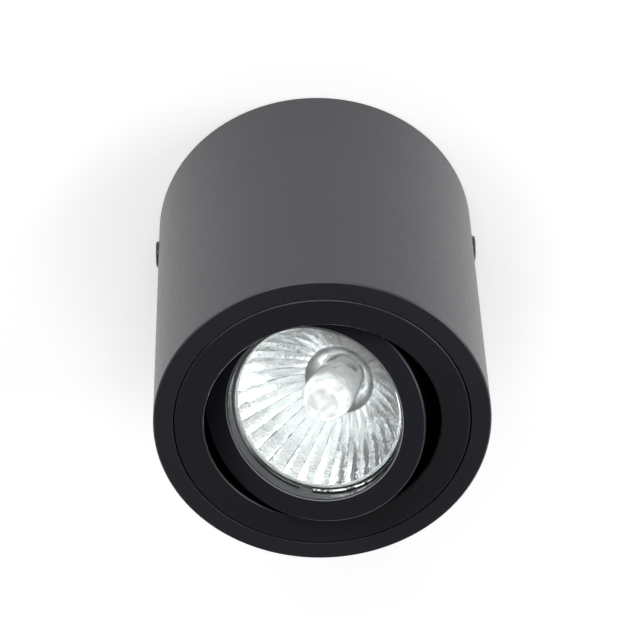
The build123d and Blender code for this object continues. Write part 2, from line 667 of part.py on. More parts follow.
def make_trim_ring():
    """Return the trim ring: face plate, collar behind it and two pivot lugs."""
    back = FRONT_Z + TRIM_PLATE
    collar_top = SHOULDER_Z - COLLAR_DROP
    ring = turned(
        (OPENING_R + TRIM_EDGE, FRONT_Z),
        (TRIM_R - TRIM_EDGE, FRONT_Z),
        (TRIM_R, FRONT_Z + TRIM_EDGE),
        (TRIM_R, back),
        (COLLAR_R, back),
        (COLLAR_R, collar_top),
        (COLLAR_BORE_R, collar_top),
        (COLLAR_BORE_R, back),
        (OPENING_R, back),
        (OPENING_R, FRONT_Z + TRIM_EDGE),
    )
    lug_top = PIVOT_Z + LUG_ABOVE_PIVOT
    lug_depth = COLLAR_R - washer_seat()
    outside = disc(COLLAR_R, back, lug_top)
    lug = block(lug_depth, LUG_WIDTH, back, lug_top)
    for side in (-1, 1):
        ring += Pos(side * (washer_seat() + lug_depth / 2), 0) * lug & outside
    for angle in (0, 180):
        frame = along_x(angle, PIVOT_Z)
        ring -= frame * disc(PIN_DIAMETER / 2 + FIT, washer_seat() - CUT, COLLAR_R + CUT)
        ring -= frame * disc(PIN_HEAD_DIAMETER / 2 + FIT, pin_seat(), COLLAR_R + CUT)
    flat = COLLAR_R - SPRING_FLAT_DEPTH
    for angle in spring_angles():
        frame = Rot(0, 0, angle)
        flat_width = SPRING_WIDTH + 2 * SPRING_FLAT_MARGIN
        filed = block(2 * SPRING_FLAT_DEPTH, flat_width, back, collar_top + CUT)
        ring -= frame * Pos(flat + SPRING_FLAT_DEPTH, 0) * filed
        hole = disc(SPRING_SCREW_DIAMETER / 2 + FIT, COLLAR_BORE_R - CUT, flat + CUT)
        ring -= along_x(angle, FRONT_Z + SPRING_SCREW_HEIGHT) * hole
    return INSERT * ring


def make_springs():
    """Return the leaf springs that hold the insert behind the housing's shoulder."""
    centre_r = COLLAR_R - SPRING_FLAT_DEPTH + SPRING_THICKNESS / 2
    offset = (SPRING_GAP + SPRING_THICKNESS / 2) * math.sqrt(0.5)
    knee = SHOULDER_Z + offset - (LEDGE_R - offset - centre_r)
    crest_r = LEDGE_R + SPRING_CREST
    crest = knee + crest_r - centre_r
    tail = (crest_r - SPRING_TAIL_RETURN, crest + SPRING_TAIL_RISE)
    foot = (centre_r, FRONT_Z + SPRING_FOOT)
    line = FilletPolyline(foot, (centre_r, knee), (crest_r, crest), tail, radius=SPRING_BEND)
    leaf = extrude(Plane.XZ * trace(line, SPRING_THICKNESS), SPRING_WIDTH / 2, both=True)
    height = FRONT_Z + SPRING_SCREW_HEIGHT
    leaf -= along_x(0, height) * disc(SPRING_SCREW_DIAMETER / 2 + FIT, centre_r - CUT, centre_r + CUT)
    return group([INSERT * Rot(0, 0, angle) * leaf for angle in spring_angles()])


def make_spring_screws():
    """Return the screws that hold the springs on the collar."""
    seat = COLLAR_R - SPRING_FLAT_DEPTH + SPRING_THICKNESS
    length = SPRING_THICKNESS + SPRING_SCREW_LENGTH
    one = screw(SPRING_HEAD_DIAMETER, SPRING_HEAD_HEIGHT, SPRING_SCREW_DIAMETER, length)
    height = FRONT_Z + SPRING_SCREW_HEIGHT
    return group([INSERT * along_x(angle, height) * Pos(0, 0, seat) * one for angle in spring_angles()])


def make_pivot_screws():
    """Return the two shoulder screws that the gimbal ring tilts on."""
    length = pin_seat() - boss_face() + PIN_ENGAGEMENT
    one = screw(PIN_HEAD_DIAMETER, PIN_HEAD_HEIGHT, PIN_DIAMETER, length)
    return group([INSERT * along_x(angle, PIVOT_Z) * Pos(0, 0, pin_seat()) * one for angle in (0, 180)])


def make_friction_washers():
    """Return the nylon washers between the lugs and the gimbal ring's bosses."""
    near = boss_face() + FRICTION_WASHER_GAP
    far = washer_seat() - FRICTION_WASHER_GAP
    one = disc(FRICTION_WASHER_DIAMETER / 2, near, far)
    one -= disc(PIN_DIAMETER / 2 + FIT, near - CUT, far + CUT)
    return group([INSERT * along_x(angle, PIVOT_Z) * one for angle in (0, 180)])


# ---------------------------------------------------------------- gimbal ring
def seat_s():
    """Return how far behind the ring's face the lamp's rim is seated."""
    return RIM_TOP + RIM_THICKNESS + FIT


def wire_s():
    """Return how far behind the ring's face the retaining wire lies."""
    return LAMP_SETBACK - WIRE_DIAMETER / 2 - FIT


def make_gimbal_ring():
    """Return the tilting ring with its skirt, lamp seat and pivot bosses."""
    wall_r = RING_BORE_R + RING_WALL
    skirt_r = RING_R - RING_SKIRT_WALL
    seat_end = seat_s() + SEAT_THICKNESS
    ring = turned(
        (RING_BORE_R + RING_EDGE, 0),
        (RING_R - RING_EDGE, 0),
        (RING_R, RING_EDGE),
        (RING_R, RING_SKIRT_LENGTH),
        (skirt_r, RING_SKIRT_LENGTH),
        (skirt_r, RING_PLATE),
        (wall_r, RING_PLATE),
        (wall_r, seat_end),
        (RING_BORE_R - SEAT_WIDTH, seat_end),
        (RING_BORE_R - SEAT_WIDTH, seat_s()),
        (RING_BORE_R, seat_s()),
        (RING_BORE_R, RING_EDGE),
    )
    boss_high = RING_PIVOT + BOSS_ABOVE_PIVOT
    middle_r = RING_BORE_R + RING_WALL / 2
    boss_depth = boss_face() - middle_r
    for side in (-1, 1):
        boss = block(boss_depth, BOSS_WIDTH, RING_PLATE / 2, boss_high)
        ring += Pos(side * (middle_r + boss_depth / 2), 0) * boss
    for angle in (0, 180):
        frame = along_x(angle, RING_PIVOT)
        hole_end = boss_face() - PIN_ENGAGEMENT - PIN_END_GAP
        ring -= frame * disc(PIN_DIAMETER / 2 + PIN_FIT, hole_end, RING_R + CUT)
        ring -= frame * disc(BOSS_WIDTH / 2, boss_face(), RING_R + CUT)
    groove_r = RING_BORE_R + WIRE_GROOVE_DEPTH + FIT
    half = WIRE_DIAMETER / 2 + FIT
    ring -= disc(groove_r, wire_s() - half, wire_s() + half)
    return CARRIER * ring


def make_retaining_wire():
    """Return the open wire ring that keeps the lamp on its seat."""
    wire_r = RING_BORE_R + WIRE_GROOVE_DEPTH - WIRE_DIAMETER / 2
    start = WIRE_GAP_DIRECTION + WIRE_GAP_ANGLE / 2
    section = Plane.XZ * Pos(wire_r, wire_s()) * Circle(WIRE_DIAMETER / 2)
    wire = revolve(section, Axis.Z, revolution_arc=360 - WIRE_GAP_ANGLE)
    return CARRIER * Rot(0, 0, start) * wire


# ---------------------------------------------------------------- lamp
def bowl_radius(s):
    """Return the mirror's radius at a depth behind the gimbal ring's face."""
    return math.sqrt(BOWL_MOUTH_R ** 2 - BOWL_RATE * (s - RIM_TOP))


def bowl_curve(first, last):
    """Return the parabola between two (radius, depth) points of one bowl."""
    rate = (first[0] ** 2 - last[0] ** 2) / (last[1] - first[1])
    control = ((first[0] + last[0]) / 2, first[1] + first[0] * (first[0] - last[0]) / rate)
    return Bezier(first, control, last)


def fluted_cavity():
    """Return the faceted hollow of the reflector, one flat per flute and station."""
    cavity = None
    for index in range(BOWL_STATIONS - 1):
        stations = [index / (BOWL_STATIONS - 1), (index + 1) / (BOWL_STATIONS - 1)]
        depths = [RIM_TOP + FLUTED_DEPTH * math.sin(math.pi / 2 * part) for part in stations]
        rings = [Pos(0, 0, s) * RegularPolygon(bowl_radius(s), FLUTE_COUNT) for s in depths]
        stage = loft(Sketch() + rings, ruled=True)
        cavity = stage if cavity is None else cavity + stage
    return cavity


def make_reflector():
    """Return the glass reflector: rim, fluted bowl, smooth throat and neck."""
    rim_back = RIM_TOP + RIM_THICKNESS
    neck_outer = NECK_R + NECK_WALL
    outer_edge = (LAMP_R - RIM_STEP, rim_back)
    neck_edge = (neck_outer, BOWL_END_S)
    outline = [
        Line((0, RIM_TOP), (LAMP_R, RIM_TOP)),
        Line((LAMP_R, RIM_TOP), (LAMP_R, rim_back)),
        Line((LAMP_R, rim_back), outer_edge),
        bowl_curve(outer_edge, neck_edge),
        Line(neck_edge, (neck_outer, NECK_END_S)),
        Line((neck_outer, NECK_END_S), (0, NECK_END_S)),
        Line((0, NECK_END_S), (0, RIM_TOP)),
    ]
    solid = revolve(Plane.XZ * make_face(outline), Axis.Z)
    throat_low = THROAT_S - FIT
    throat = turned(
        (0, throat_low),
        (THROAT_R * math.cos(math.pi / FLUTE_COUNT), throat_low),
        (THROAT_R * math.cos(math.pi / FLUTE_COUNT), THROAT_S),
        (NECK_R, BOWL_END_S),
        (NECK_R, NECK_END_S + CUT),
        (0, NECK_END_S + CUT),
    )
    return CARRIER * (solid - fluted_cavity() - throat)


def make_front_glass():
    """Return the cover glass on the reflector's rim."""
    glass = disc(LAMP_R - GLASS_INSET, LAMP_SETBACK, RIM_TOP)
    front = glass.edges().filter_by(GeomType.CIRCLE).sort_by(Axis.Z)[0]
    return CARRIER * fillet(front, GLASS_EDGE)


def make_burner():
    """Return the hollow quartz burner with its flat pinch."""
    outer_r = BURNER_DIAMETER / 2
    inner_r = outer_r - BURNER_WALL
    tip_s = BURNER_TIP_S + outer_r
    bulb = disc(outer_r, tip_s, BURNER_END_S) + Pos(0, 0, tip_s) * Sphere(outer_r)
    inside = disc(inner_r, tip_s, BURNER_END_S - PINCH_ROOT) + Pos(0, 0, tip_s) * Sphere(inner_r)
    bulb -= inside
    pinch = block(PINCH_WIDTH, PINCH_THICKNESS, BURNER_END_S - PINCH_ROOT / 2, PINCH_END_S)
    burner = bulb + pinch
    for side in (-1, 1):
        hole = disc(BURNER_WIRE_DIAMETER / 2 + FIT, BURNER_END_S - PINCH_ROOT - CUT, PINCH_END_S + CUT)
        burner -= Pos(side * BURNER_WIRE_SPACING / 2, 0) * hole
    return CARRIER * burner


def make_filament():
    """Return the coiled filament across the burner, as one closed coil body."""
    coil = Rot(0, 90, 0) * Cylinder(FILAMENT_DIAMETER / 2, FILAMENT_LENGTH)
    bore = Rot(0, 90, 0) * Cylinder(FILAMENT_DIAMETER / 4, FILAMENT_LENGTH + CUT)
    return CARRIER * Pos(0, 0, FILAMENT_S) * (coil - bore)


def make_burner_wires():
    """Return the two wires from the filament through the pinch into the base pins."""
    start = FILAMENT_S + FILAMENT_DIAMETER / 2 + FIT
    end = SHOULDER_S - BASE_FLOOR
    one = disc(BURNER_WIRE_DIAMETER / 2, start, end)
    return group([CARRIER * Pos(side * BURNER_WIRE_SPACING / 2, 0) * one for side in (-1, 1)])


def make_burner_cement():
    """Return the cement plug that fixes the burner's pinch in the neck."""
    high = NECK_END_S - FIT
    plug = disc(NECK_R - FIT, high - CEMENT_HEIGHT, high)
    slot = block(PINCH_WIDTH + 2 * FIT, PINCH_THICKNESS + 2 * FIT, high - CEMENT_HEIGHT - CUT, high + CUT)
    return CARRIER * (plug - slot)


def make_lamp_base():
    """Return the ceramic base: a cup round the neck and a floor for the two pins."""
    cup_r = NECK_R + NECK_WALL + BASE_JOINT_GAP
    outer_r = cup_r + BASE_WALL
    floor_s = SHOULDER_S - BASE_FLOOR
    base = turned(
        (cup_r, BOWL_END_S + BASE_EDGE),
        (outer_r - BASE_EDGE, BOWL_END_S + BASE_EDGE),
        (outer_r, BOWL_END_S + 2 * BASE_EDGE),
        (outer_r, SHOULDER_S - BASE_EDGE),
        (outer_r - BASE_EDGE, SHOULDER_S),
        (0, SHOULDER_S),
        (0, floor_s),
        (NECK_R, floor_s),
        (NECK_R, NECK_END_S),
        (cup_r, NECK_END_S),
    )
    hole = disc(BASE_PIN_NECK / 2 + FIT, SHOULDER_S - BASE_PIN_ROOT, SHOULDER_S + CUT)
    for side in (-1, 1):
        base -= Pos(side * BASE_PIN_SPACING / 2, 0) * hole
    return CARRIER * base


def make_lamp_pins():
    """Return the two headed contact pins of the lamp."""
    neck_end = SHOULDER_S + BASE_PIN_NECK_LENGTH
    pin = disc(BASE_PIN_NECK / 2, SHOULDER_S - BASE_PIN_ROOT, neck_end)
    pin += disc(BASE_PIN_HEAD / 2, neck_end, SHOULDER_S + BASE_PIN_LENGTH)
    return group([CARRIER * Pos(side * BASE_PIN_SPACING / 2, 0) * pin for side in (-1, 1)])


# ---------------------------------------------------------------- lampholder
def pocket_end():
    """Return the depth at which the holder's pin pockets end."""
    return HOLDER_S + POCKET_DEPTH


def make_holder_body():
    """Return the ceramic lampholder with its bayonet pockets and wiring recess."""
    body = prism(SlotOverall(HOLDER_LENGTH, HOLDER_WIDTH), HOLDER_S, COVER_S)
    body = chamfer(body.faces().sort_by(Axis.Z)[0].edges(), HOLDER_EDGE)
    width = BASE_PIN_HEAD + 2 * POCKET_CLEARANCE
    for start in (0, 180):
        arc = CenterArc((0, 0), BASE_PIN_SPACING / 2, start, POCKET_TURN)
        body -= prism(SlotArc(arc, width), HOLDER_S - CUT, pocket_end())
    body -= block(RECESS_LENGTH, RECESS_WIDTH, COVER_S - RECESS_DEPTH, COVER_S + CUT)
    for side in (-1, 1):
        stem = block(CONTACT_SHEET + 2 * FIT, CONTACT_STEM_WIDTH + 2 * FIT, pocket_end() - CUT, COVER_S)
        body -= Pos(side * BASE_PIN_SPACING / 2, 0) * stem
        hole = disc(HOLDER_SCREW_DIAMETER / 2 + FIT, COVER_S - HOLDER_SCREW_LENGTH, COVER_S + CUT)
        body -= Pos(side * HOLDER_SCREW_SPACING / 2, 0) * hole
    return CARRIER * body


def make_holder_contacts():
    """Return the two sheet contacts with their crimps."""
    pad_s = SHOULDER_S + BASE_PIN_LENGTH + CONTACT_GAP
    crimp_s = LEAD_END_S - CONTACT_CRIMP_LENGTH
    crimp_r = CORE_DIAMETER / 2 + CONTACT_SHEET
    contact = block(CONTACT_WIDTH, CONTACT_WIDTH, pad_s, pad_s + CONTACT_SHEET)
    contact += block(CONTACT_SHEET, CONTACT_STEM_WIDTH, pad_s, crimp_s + CONTACT_SHEET)
    contact += disc(crimp_r, crimp_s, LEAD_END_S - FIT)
    contact -= disc(CORE_DIAMETER / 2 + FIT, crimp_s + CONTACT_SHEET, LEAD_END_S + CUT)
    return group([CARRIER * Pos(side * BASE_PIN_SPACING / 2, 0) * contact for side in (-1, 1)])


def make_holder_cover():
    """Return the cover over the holder's wiring recess."""
    cover = prism(SlotOverall(HOLDER_LENGTH, HOLDER_WIDTH), COVER_S, HOLDER_BACK_S)
    for side in (-1, 1):
        lead_hole = disc(LEAD_DIAMETER / 2 + LEAD_HOLE_CLEARANCE, COVER_S - CUT, HOLDER_BACK_S + CUT)
        cover -= Pos(side * BASE_PIN_SPACING / 2, 0) * lead_hole
        screw_hole = disc(HOLDER_SCREW_DIAMETER / 2 + FIT, COVER_S - CUT, HOLDER_BACK_S + CUT)
        cover -= Pos(side * HOLDER_SCREW_SPACING / 2, 0) * screw_hole
    return CARRIER * cover


def make_holder_screws():
    """Return the two screws that hold the cover on the lampholder."""
    length = HOLDER_COVER + HOLDER_SCREW_LENGTH
    one = screw(HOLDER_HEAD_DIAMETER, HOLDER_HEAD_HEIGHT, HOLDER_SCREW_DIAMETER, length)
    seats = [Pos(side * HOLDER_SCREW_SPACING / 2, 0, HOLDER_BACK_S) for side in (-1, 1)]
    return group([CARRIER * seat * one for seat in seats])


# ---------------------------------------------------------------- the whole light
PARTS = {
    "housing_tube": make_housing,
    "side_screws": make_side_screws,
    "ceiling_bracket": make_bracket,
    "cable_grommet": make_grommet,
    "terminal_block": make_terminal_block,
    "terminal_clamps": make_terminal_clamps,
    "terminal_screws": make_terminal_screws,
    "block_screws": make_block_screws,
    "earth_washer": make_earth_washer,
    "earth_tag": make_earth_tag,
    "earth_screw": make_earth_screw,
    "earth_lead": make_earth_lead,
    "conductor_ends": make_conductor_ends,
    "live_lead_upper": lambda: make_upper_lead("live_lead_upper", -1, LIVE_POLE, LIVE_BEND),
    "neutral_lead_upper": lambda: make_upper_lead("neutral_lead_upper", 1, NEUTRAL_POLE, NEUTRAL_BEND),
    "lead_tie": make_lead_tie,
    "live_lead_lower": lambda: make_lower_lead("live_lead_lower", -1),
    "neutral_lead_lower": lambda: make_lower_lead("neutral_lead_lower", 1),
    "trim_ring": make_trim_ring,
    "leaf_springs": make_springs,
    "spring_screws": make_spring_screws,
    "pivot_screws": make_pivot_screws,
    "friction_washers": make_friction_washers,
    "gimbal_ring": make_gimbal_ring,
    "retaining_wire": make_retaining_wire,
    "lamp_reflector": make_reflector,
    "lamp_front_glass": make_front_glass,
    "lamp_burner": make_burner,
    "lamp_filament": make_filament,
    "burner_wires": make_burner_wires,
    "burner_cement": make_burner_cement,
    "lamp_base": make_lamp_base,
    "lamp_pins": make_lamp_pins,
    "lampholder_body": make_holder_body,
    "lampholder_contacts": make_holder_contacts,
    "lampholder_cover": make_holder_cover,
    "lampholder_screws": make_holder_screws,
}

os.makedirs("parts", exist_ok=True)
for node, make in PARTS.items():
    export_step(make(), f"parts/{node}.step")
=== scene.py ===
"""Looks of a surface mounted ceiling spotlight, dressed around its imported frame.

The frame brings every rigid piece.  This script gives each of them a finish, and makes
again what a plain solid can't show: the fluted mirror, its front glass and wire, the quartz
burner with its coil, and the sleeved leads.  The light hangs under z = 0.  Lengths are in
metres, but for the lamp's own sizes, which are in millimetres in the lamp's frame.
"""

import logging
import math
from dataclasses import dataclass, field
from enum import Enum

import bmesh
import bpy
from mathutils import Matrix, Vector


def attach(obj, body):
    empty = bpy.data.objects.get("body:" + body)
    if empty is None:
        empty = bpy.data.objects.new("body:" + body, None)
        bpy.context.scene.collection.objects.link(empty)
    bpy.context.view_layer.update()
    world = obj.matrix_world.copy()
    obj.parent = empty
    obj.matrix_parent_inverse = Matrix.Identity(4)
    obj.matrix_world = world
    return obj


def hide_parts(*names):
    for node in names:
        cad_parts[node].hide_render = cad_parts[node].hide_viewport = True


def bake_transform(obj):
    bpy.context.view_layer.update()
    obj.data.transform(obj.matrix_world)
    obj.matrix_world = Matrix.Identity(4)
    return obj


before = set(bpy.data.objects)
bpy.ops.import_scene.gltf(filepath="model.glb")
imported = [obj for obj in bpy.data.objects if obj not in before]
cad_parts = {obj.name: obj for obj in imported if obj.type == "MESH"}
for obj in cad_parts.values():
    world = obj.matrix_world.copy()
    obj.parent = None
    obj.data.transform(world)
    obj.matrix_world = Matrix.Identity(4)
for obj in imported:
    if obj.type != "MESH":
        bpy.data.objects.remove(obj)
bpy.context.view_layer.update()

MM = 0.001
TURN = 2 * math.pi
LOG = logging.getLogger("spotlight")

Point = tuple[float, float, float]
Colour = tuple[float, float, float]


class Body(Enum):
    """The bodies of the frame that pieces ride on."""

    HOUSING = "housing"
    INSERT = "trim_insert"
    CARRIER = "lamp_carrier"


# ---------------------------------------------------------------- node graphs
class Nodes:
    """A node tree, with short calls for the nodes used here."""

    def __init__(self, owner: bpy.types.Material | bpy.types.World) -> None:
        """Empty the tree of a material or world.

        Args:
            owner: What the tree belongs to.
        """
        owner.use_nodes = True
        self.tree = owner.node_tree
        self.tree.nodes.clear()

    def add(self, kind: str, **settings: object) -> bpy.types.Node:
        """Add a node.

        Args:
            kind: Blender's name of the node type.
            settings: Attributes of the node, such as an operation.

        Returns:
            The new node.
        """
        node = self.tree.nodes.new(kind)
        for key, value in settings.items():
            setattr(node, key, value)
        return node

    def feed(self, socket: bpy.types.NodeSocket, value: object) -> None:
        """Link an output to a socket, or set the socket to a plain value.

        Args:
            socket: The socket to feed.
            value: An output to link, or a number, colour or vector.
        """
        if isinstance(value, bpy.types.NodeSocket):
            self.tree.links.new(value, socket)
        else:
            socket.default_value = value

    def math(self, operation: str, a: object, b: object = 0.0) -> bpy.types.NodeSocket:
        """Work out a sum, a comparison or the like.

        Args:
            operation: Blender's name of the operation.
            a: First socket or number.
            b: Second socket or number, where the operation has two.

        Returns:
            The result's socket.
        """
        node = self.add("ShaderNodeMath", operation=operation)
        for socket, value in zip(node.inputs, (a, b)):
            self.feed(socket, value)
        return node.outputs[0]

    def times(self, a: object, b: object) -> bpy.types.NodeSocket:
        """Return the product of two sockets or numbers."""
        return self.math("MULTIPLY", a, b)

    def span(self, value: bpy.types.NodeSocket, low: float, high: float,
             start: float = 0.0, end: float = 1.0) -> bpy.types.NodeSocket:
        """Take a stretch of values smoothly to another stretch.

        Args:
            value: The value's socket.
            low: Where the stretch starts, which may be above its end.
            high: Where the stretch ends.
            start: What becomes of its start and of all before it.
            end: What becomes of its end and of all after it.

        Returns:
            The new value's socket.
        """
        node = self.add("ShaderNodeMapRange", interpolation_type="SMOOTHSTEP")
        for socket, given in zip(node.inputs[:5], (value, low, high, start, end)):
            self.feed(socket, given)
        return node.outputs[0]

    def choose(self, share: object, first: object, second: object) -> bpy.types.NodeSocket:
        """Mix two numbers.

        Args:
            share: Share of the second, from 0 to 1.
            first: First socket or number.
            second: Second socket or number.

        Returns:
            The mixed number's socket.
        """
        node = self.add("ShaderNodeMix", data_type="FLOAT")
        for index, value in ((0, share), (2, first), (3, second)):
            self.feed(node.inputs[index], value)
        return node.outputs[0]

    def split(self, vector: bpy.types.NodeSocket) -> list[bpy.types.NodeSocket]:
        """Split a vector.

        Args:
            vector: The vector's socket.

        Returns:
            The sockets of its X, Y and Z.
        """
        node = self.add("ShaderNodeSeparateXYZ")
        self.feed(node.inputs[0], vector)
        return list(node.outputs)


class Graph(Nodes):
    """The node tree of one material, with its shader."""

    def __init__(self, name: str) -> None:
        """Start a material with one shader.

        Args:
            name: The material's name.
        """
        self.material = bpy.data.materials.new(name)
        super().__init__(self.material)
        self.output = self.tree.nodes.new("ShaderNodeOutputMaterial")
        self.shader = self.add("ShaderNodeBsdfPrincipled")
        self.tree.links.new(self.shader.outputs[0], self.output.inputs["Surface"])
        self.place = self.add("ShaderNodeTexCoord").outputs["Object"]

    def set(self, **inputs: object) -> None:
        """Set or link the shader's inputs, with underscores for spaces."""
        for key, value in inputs.items():
            self.feed(self.shader.inputs[key.replace("_", " ")], value)

    def chart(self) -> list[bpy.types.NodeSocket]:
        """Return the two coordinates of the mesh's own UV map."""
        return self.split(self.add("ShaderNodeUVMap").outputs[0])[:2]

    def stretched(self, scale: Point, turn: float = 0.0) -> bpy.types.NodeSocket:
        """Stretch the place on the surface.

        Args:
            scale: Factor along each axis.
            turn: Turn about Z, in radians.

        Returns:
            The new place's socket.
        """
        node = self.add("ShaderNodeMapping")
        self.feed(node.inputs["Vector"], self.place)
        node.inputs["Scale"].default_value = scale
        node.inputs["Rotation"].default_value = (0, 0, turn)
        return node.outputs[0]

    def noise(self, size: float, detail: float = 3.0, rough: float = 0.5,
              place: bpy.types.NodeSocket | None = None) -> bpy.types.NodeSocket:
        """Return a cloudy value from 0 to 1.

        Args:
            size: Width of a cloud in metres.
            detail: Octaves of finer clouds.
            rough: Weight of the finer clouds.
            place: Where to look, if not the plain place on the surface.

        Returns:
            The value's socket.
        """
        node = self.add("ShaderNodeTexNoise")
        self.feed(node.inputs["Vector"], place or self.place)
        node.inputs["Scale"].default_value = 1.0 / size
        node.inputs["Detail"].default_value = detail
        node.inputs["Roughness"].default_value = rough
        return node.outputs["Fac"]

    def cells(self, size: float, feature: str = "F1",
              place: bpy.types.NodeSocket | None = None) -> bpy.types.NodeSocket:
        """Return the distance from the middle of the nearest cell.

        Args:
            size: Width of a cell in metres.
            feature: Blender's name of the kind of distance.
            place: Where to look, if not the plain place on the surface.

        Returns:
            The distance's socket, in widths of a cell.
        """
        node = self.add("ShaderNodeTexVoronoi", feature=feature)
        self.feed(node.inputs["Vector"], place or self.place)
        node.inputs["Scale"].default_value = 1.0 / size
        return node.outputs["Distance"]

    def blend(self, share: object, first: object, second: object) -> bpy.types.NodeSocket:
        """Mix two colours.

        Args:
            share: Share of the second, from 0 to 1.
            first: First socket or colour.
            second: Second socket or colour.

        Returns:
            The mixed colour's socket.
        """
        node = self.add("ShaderNodeMix", data_type="RGBA")
        self.feed(node.inputs[0], share)
        for index, value in ((6, first), (7, second)):
            if not isinstance(value, bpy.types.NodeSocket):
                value = (*value, 1.0)
            self.feed(node.inputs[index], value)
        return node.outputs[2]

    def bump(self, height: bpy.types.NodeSocket, depth: float, strength: float = 1.0,
             normal: bpy.types.NodeSocket | None = None) -> bpy.types.NodeSocket:
        """Return a normal raised by a height.

        Args:
            height: The height, from 0 to 1.
            depth: What a height of 1 stands for, in metres.
            strength: Share of the effect.
            normal: The normal to start from.

        Returns:
            The normal's socket.
        """
        node = self.add("ShaderNodeBump")
        self.feed(node.inputs["Height"], height)
        node.inputs["Distance"].default_value = depth
        node.inputs["Strength"].default_value = strength
        if normal is not None:
            self.feed(node.inputs["Normal"], normal)
        return node.outputs[0]

    def rounded(self, radius: float) -> bpy.types.NodeSocket:
        """Return a normal that runs smoothly round sharp edges.

        Args:
            radius: Radius of the rounding in metres.

        Returns:
            The normal's socket.
        """
        node = self.add("ShaderNodeBevel", samples=6)
        node.inputs["Radius"].default_value = radius
        return node.outputs[0]

    def edges(self, radius: float) -> bpy.types.NodeSocket:
        """Find the sharp edges.

        Args:
            radius: How far an edge reaches, in metres.

        Returns:
            A socket that is 1 along sharp edges and 0 on the faces between them.
        """
        turn = self.add("ShaderNodeVectorMath", operation="DOT_PRODUCT")
        self.feed(turn.inputs[0], self.rounded(radius))
        self.feed(turn.inputs[1], self.add("ShaderNodeNewGeometry").outputs["Normal"])
        return self.span(turn.outputs["Value"], 0.995, 0.86)

    def within(self, place: Matrix) -> bpy.types.NodeSocket:
        """Tell the place on the surface in another frame.

        Args:
            place: The other frame.

        Returns:
            The place's socket.
        """
        back = place.inverted()
        node = self.add("ShaderNodeMapping")
        self.feed(node.inputs["Vector"], self.place)
        node.inputs["Location"].default_value = back.to_translation()
        node.inputs["Rotation"].default_value = back.to_euler()
        return node.outputs[0]

    def from_axis(self, place: bpy.types.NodeSocket) -> bpy.types.NodeSocket:
        """Measure how far a place is from the Z axis of its frame.

        Args:
            place: The place's socket.

        Returns:
            The distance's socket.
        """
        flat = self.add("ShaderNodeVectorMath", operation="MULTIPLY")
        self.feed(flat.inputs[0], place)
        flat.inputs[1].default_value = (1.0, 1.0, 0.0)
        away = self.add("ShaderNodeVectorMath", operation="LENGTH")
        self.feed(away.inputs[0], flat.outputs[0])
        return away.outputs["Value"]


# ---------------------------------------------------------------- place
def polar(radius: float, angle: float, depth: float) -> Vector:
    """Return the point at a radius, an angle in radians and a depth."""
    return Vector((radius * math.cos(angle), radius * math.sin(angle), depth))


@dataclass(frozen=True)
class Rest:
    """Where the turning bodies stand at rest, and how deep the light is."""

    face_height: float = -102.4 * MM
    pivot_height: float = -93.13 * MM
    pivot_angle: float = 127.2
    tilt: float = 22.75
    ring_pivot: float = 7.65 * MM
    rim: float = 7.1 * MM
    lamp_shift: float = 0.6 * MM
    lamp_side: float = 55.0
    lamp_lift: float = 0.45 * MM
    lamp_lean: float = 1.6
    lamp_lean_side: float = 135.0

    def face(self) -> Matrix:
        """Return the frame of the mouth: +Z is the depth behind the front face."""
        return Matrix.Translation((0, 0, self.face_height))

    def insert(self) -> Matrix:
        """Return the trim insert's frame, with X along the pivots."""
        return Matrix.Rotation(math.radians(self.pivot_angle), 4, "Z")

    def carrier(self) -> Matrix:
        """Return the lamp carrier's frame.

        Returns:
            The frame, with +Z as the depth behind the gimbal ring's face.
        """
        lift = Matrix.Translation((0, 0, self.pivot_height))
        lean = Matrix.Rotation(math.radians(self.tilt), 4, "X")
        return lift @ self.insert() @ lean @ Matrix.Translation((0, 0, -self.ring_pivot))

    def lamp(self) -> Matrix:
        """Return the frame of the lamp, which sits a little crooked in its ring.

        Returns:
            The carrier's frame, shifted, lifted and leaned about the lamp's rim.
        """
        side = math.radians(self.lamp_side)
        moved = Matrix.Translation(polar(self.lamp_shift, side, -self.lamp_lift))
        lean = math.radians(self.lamp_lean_side)
        axis = Vector((-math.sin(lean), math.cos(lean), 0.0))
        pivot = Matrix.Translation((0, 0, self.rim))
        tilted = pivot @ Matrix.Rotation(math.radians(self.lamp_lean), 4, axis) @ pivot.inverted()
        return self.carrier() @ moved @ tilted


# ---------------------------------------------------------------- finishes
@dataclass(frozen=True)
class Finish:
    """A finish that gives one procedural material."""

    name: str
    colour: Colour

    def material(self) -> bpy.types.Material:
        """Make the finish's material, or take it where it is made already.

        Returns:
            The material.
        """
        name = self.name + "_finish"
        known = bpy.data.materials.get(name)
        if known is not None:
            return known
        graph = Graph(name)
        self.paint(graph)
        return graph.material

    def paint(self, graph: Graph) -> None:
        """Build the finish in an empty graph.

        Args:
            graph: The graph to build in.
        """
        raise NotImplementedError

    def tint(self, factor: float) -> Colour:
        """Return the colour, lighter or darker by a factor."""
        return tuple(min(1.0, part * factor) for part in self.colour)


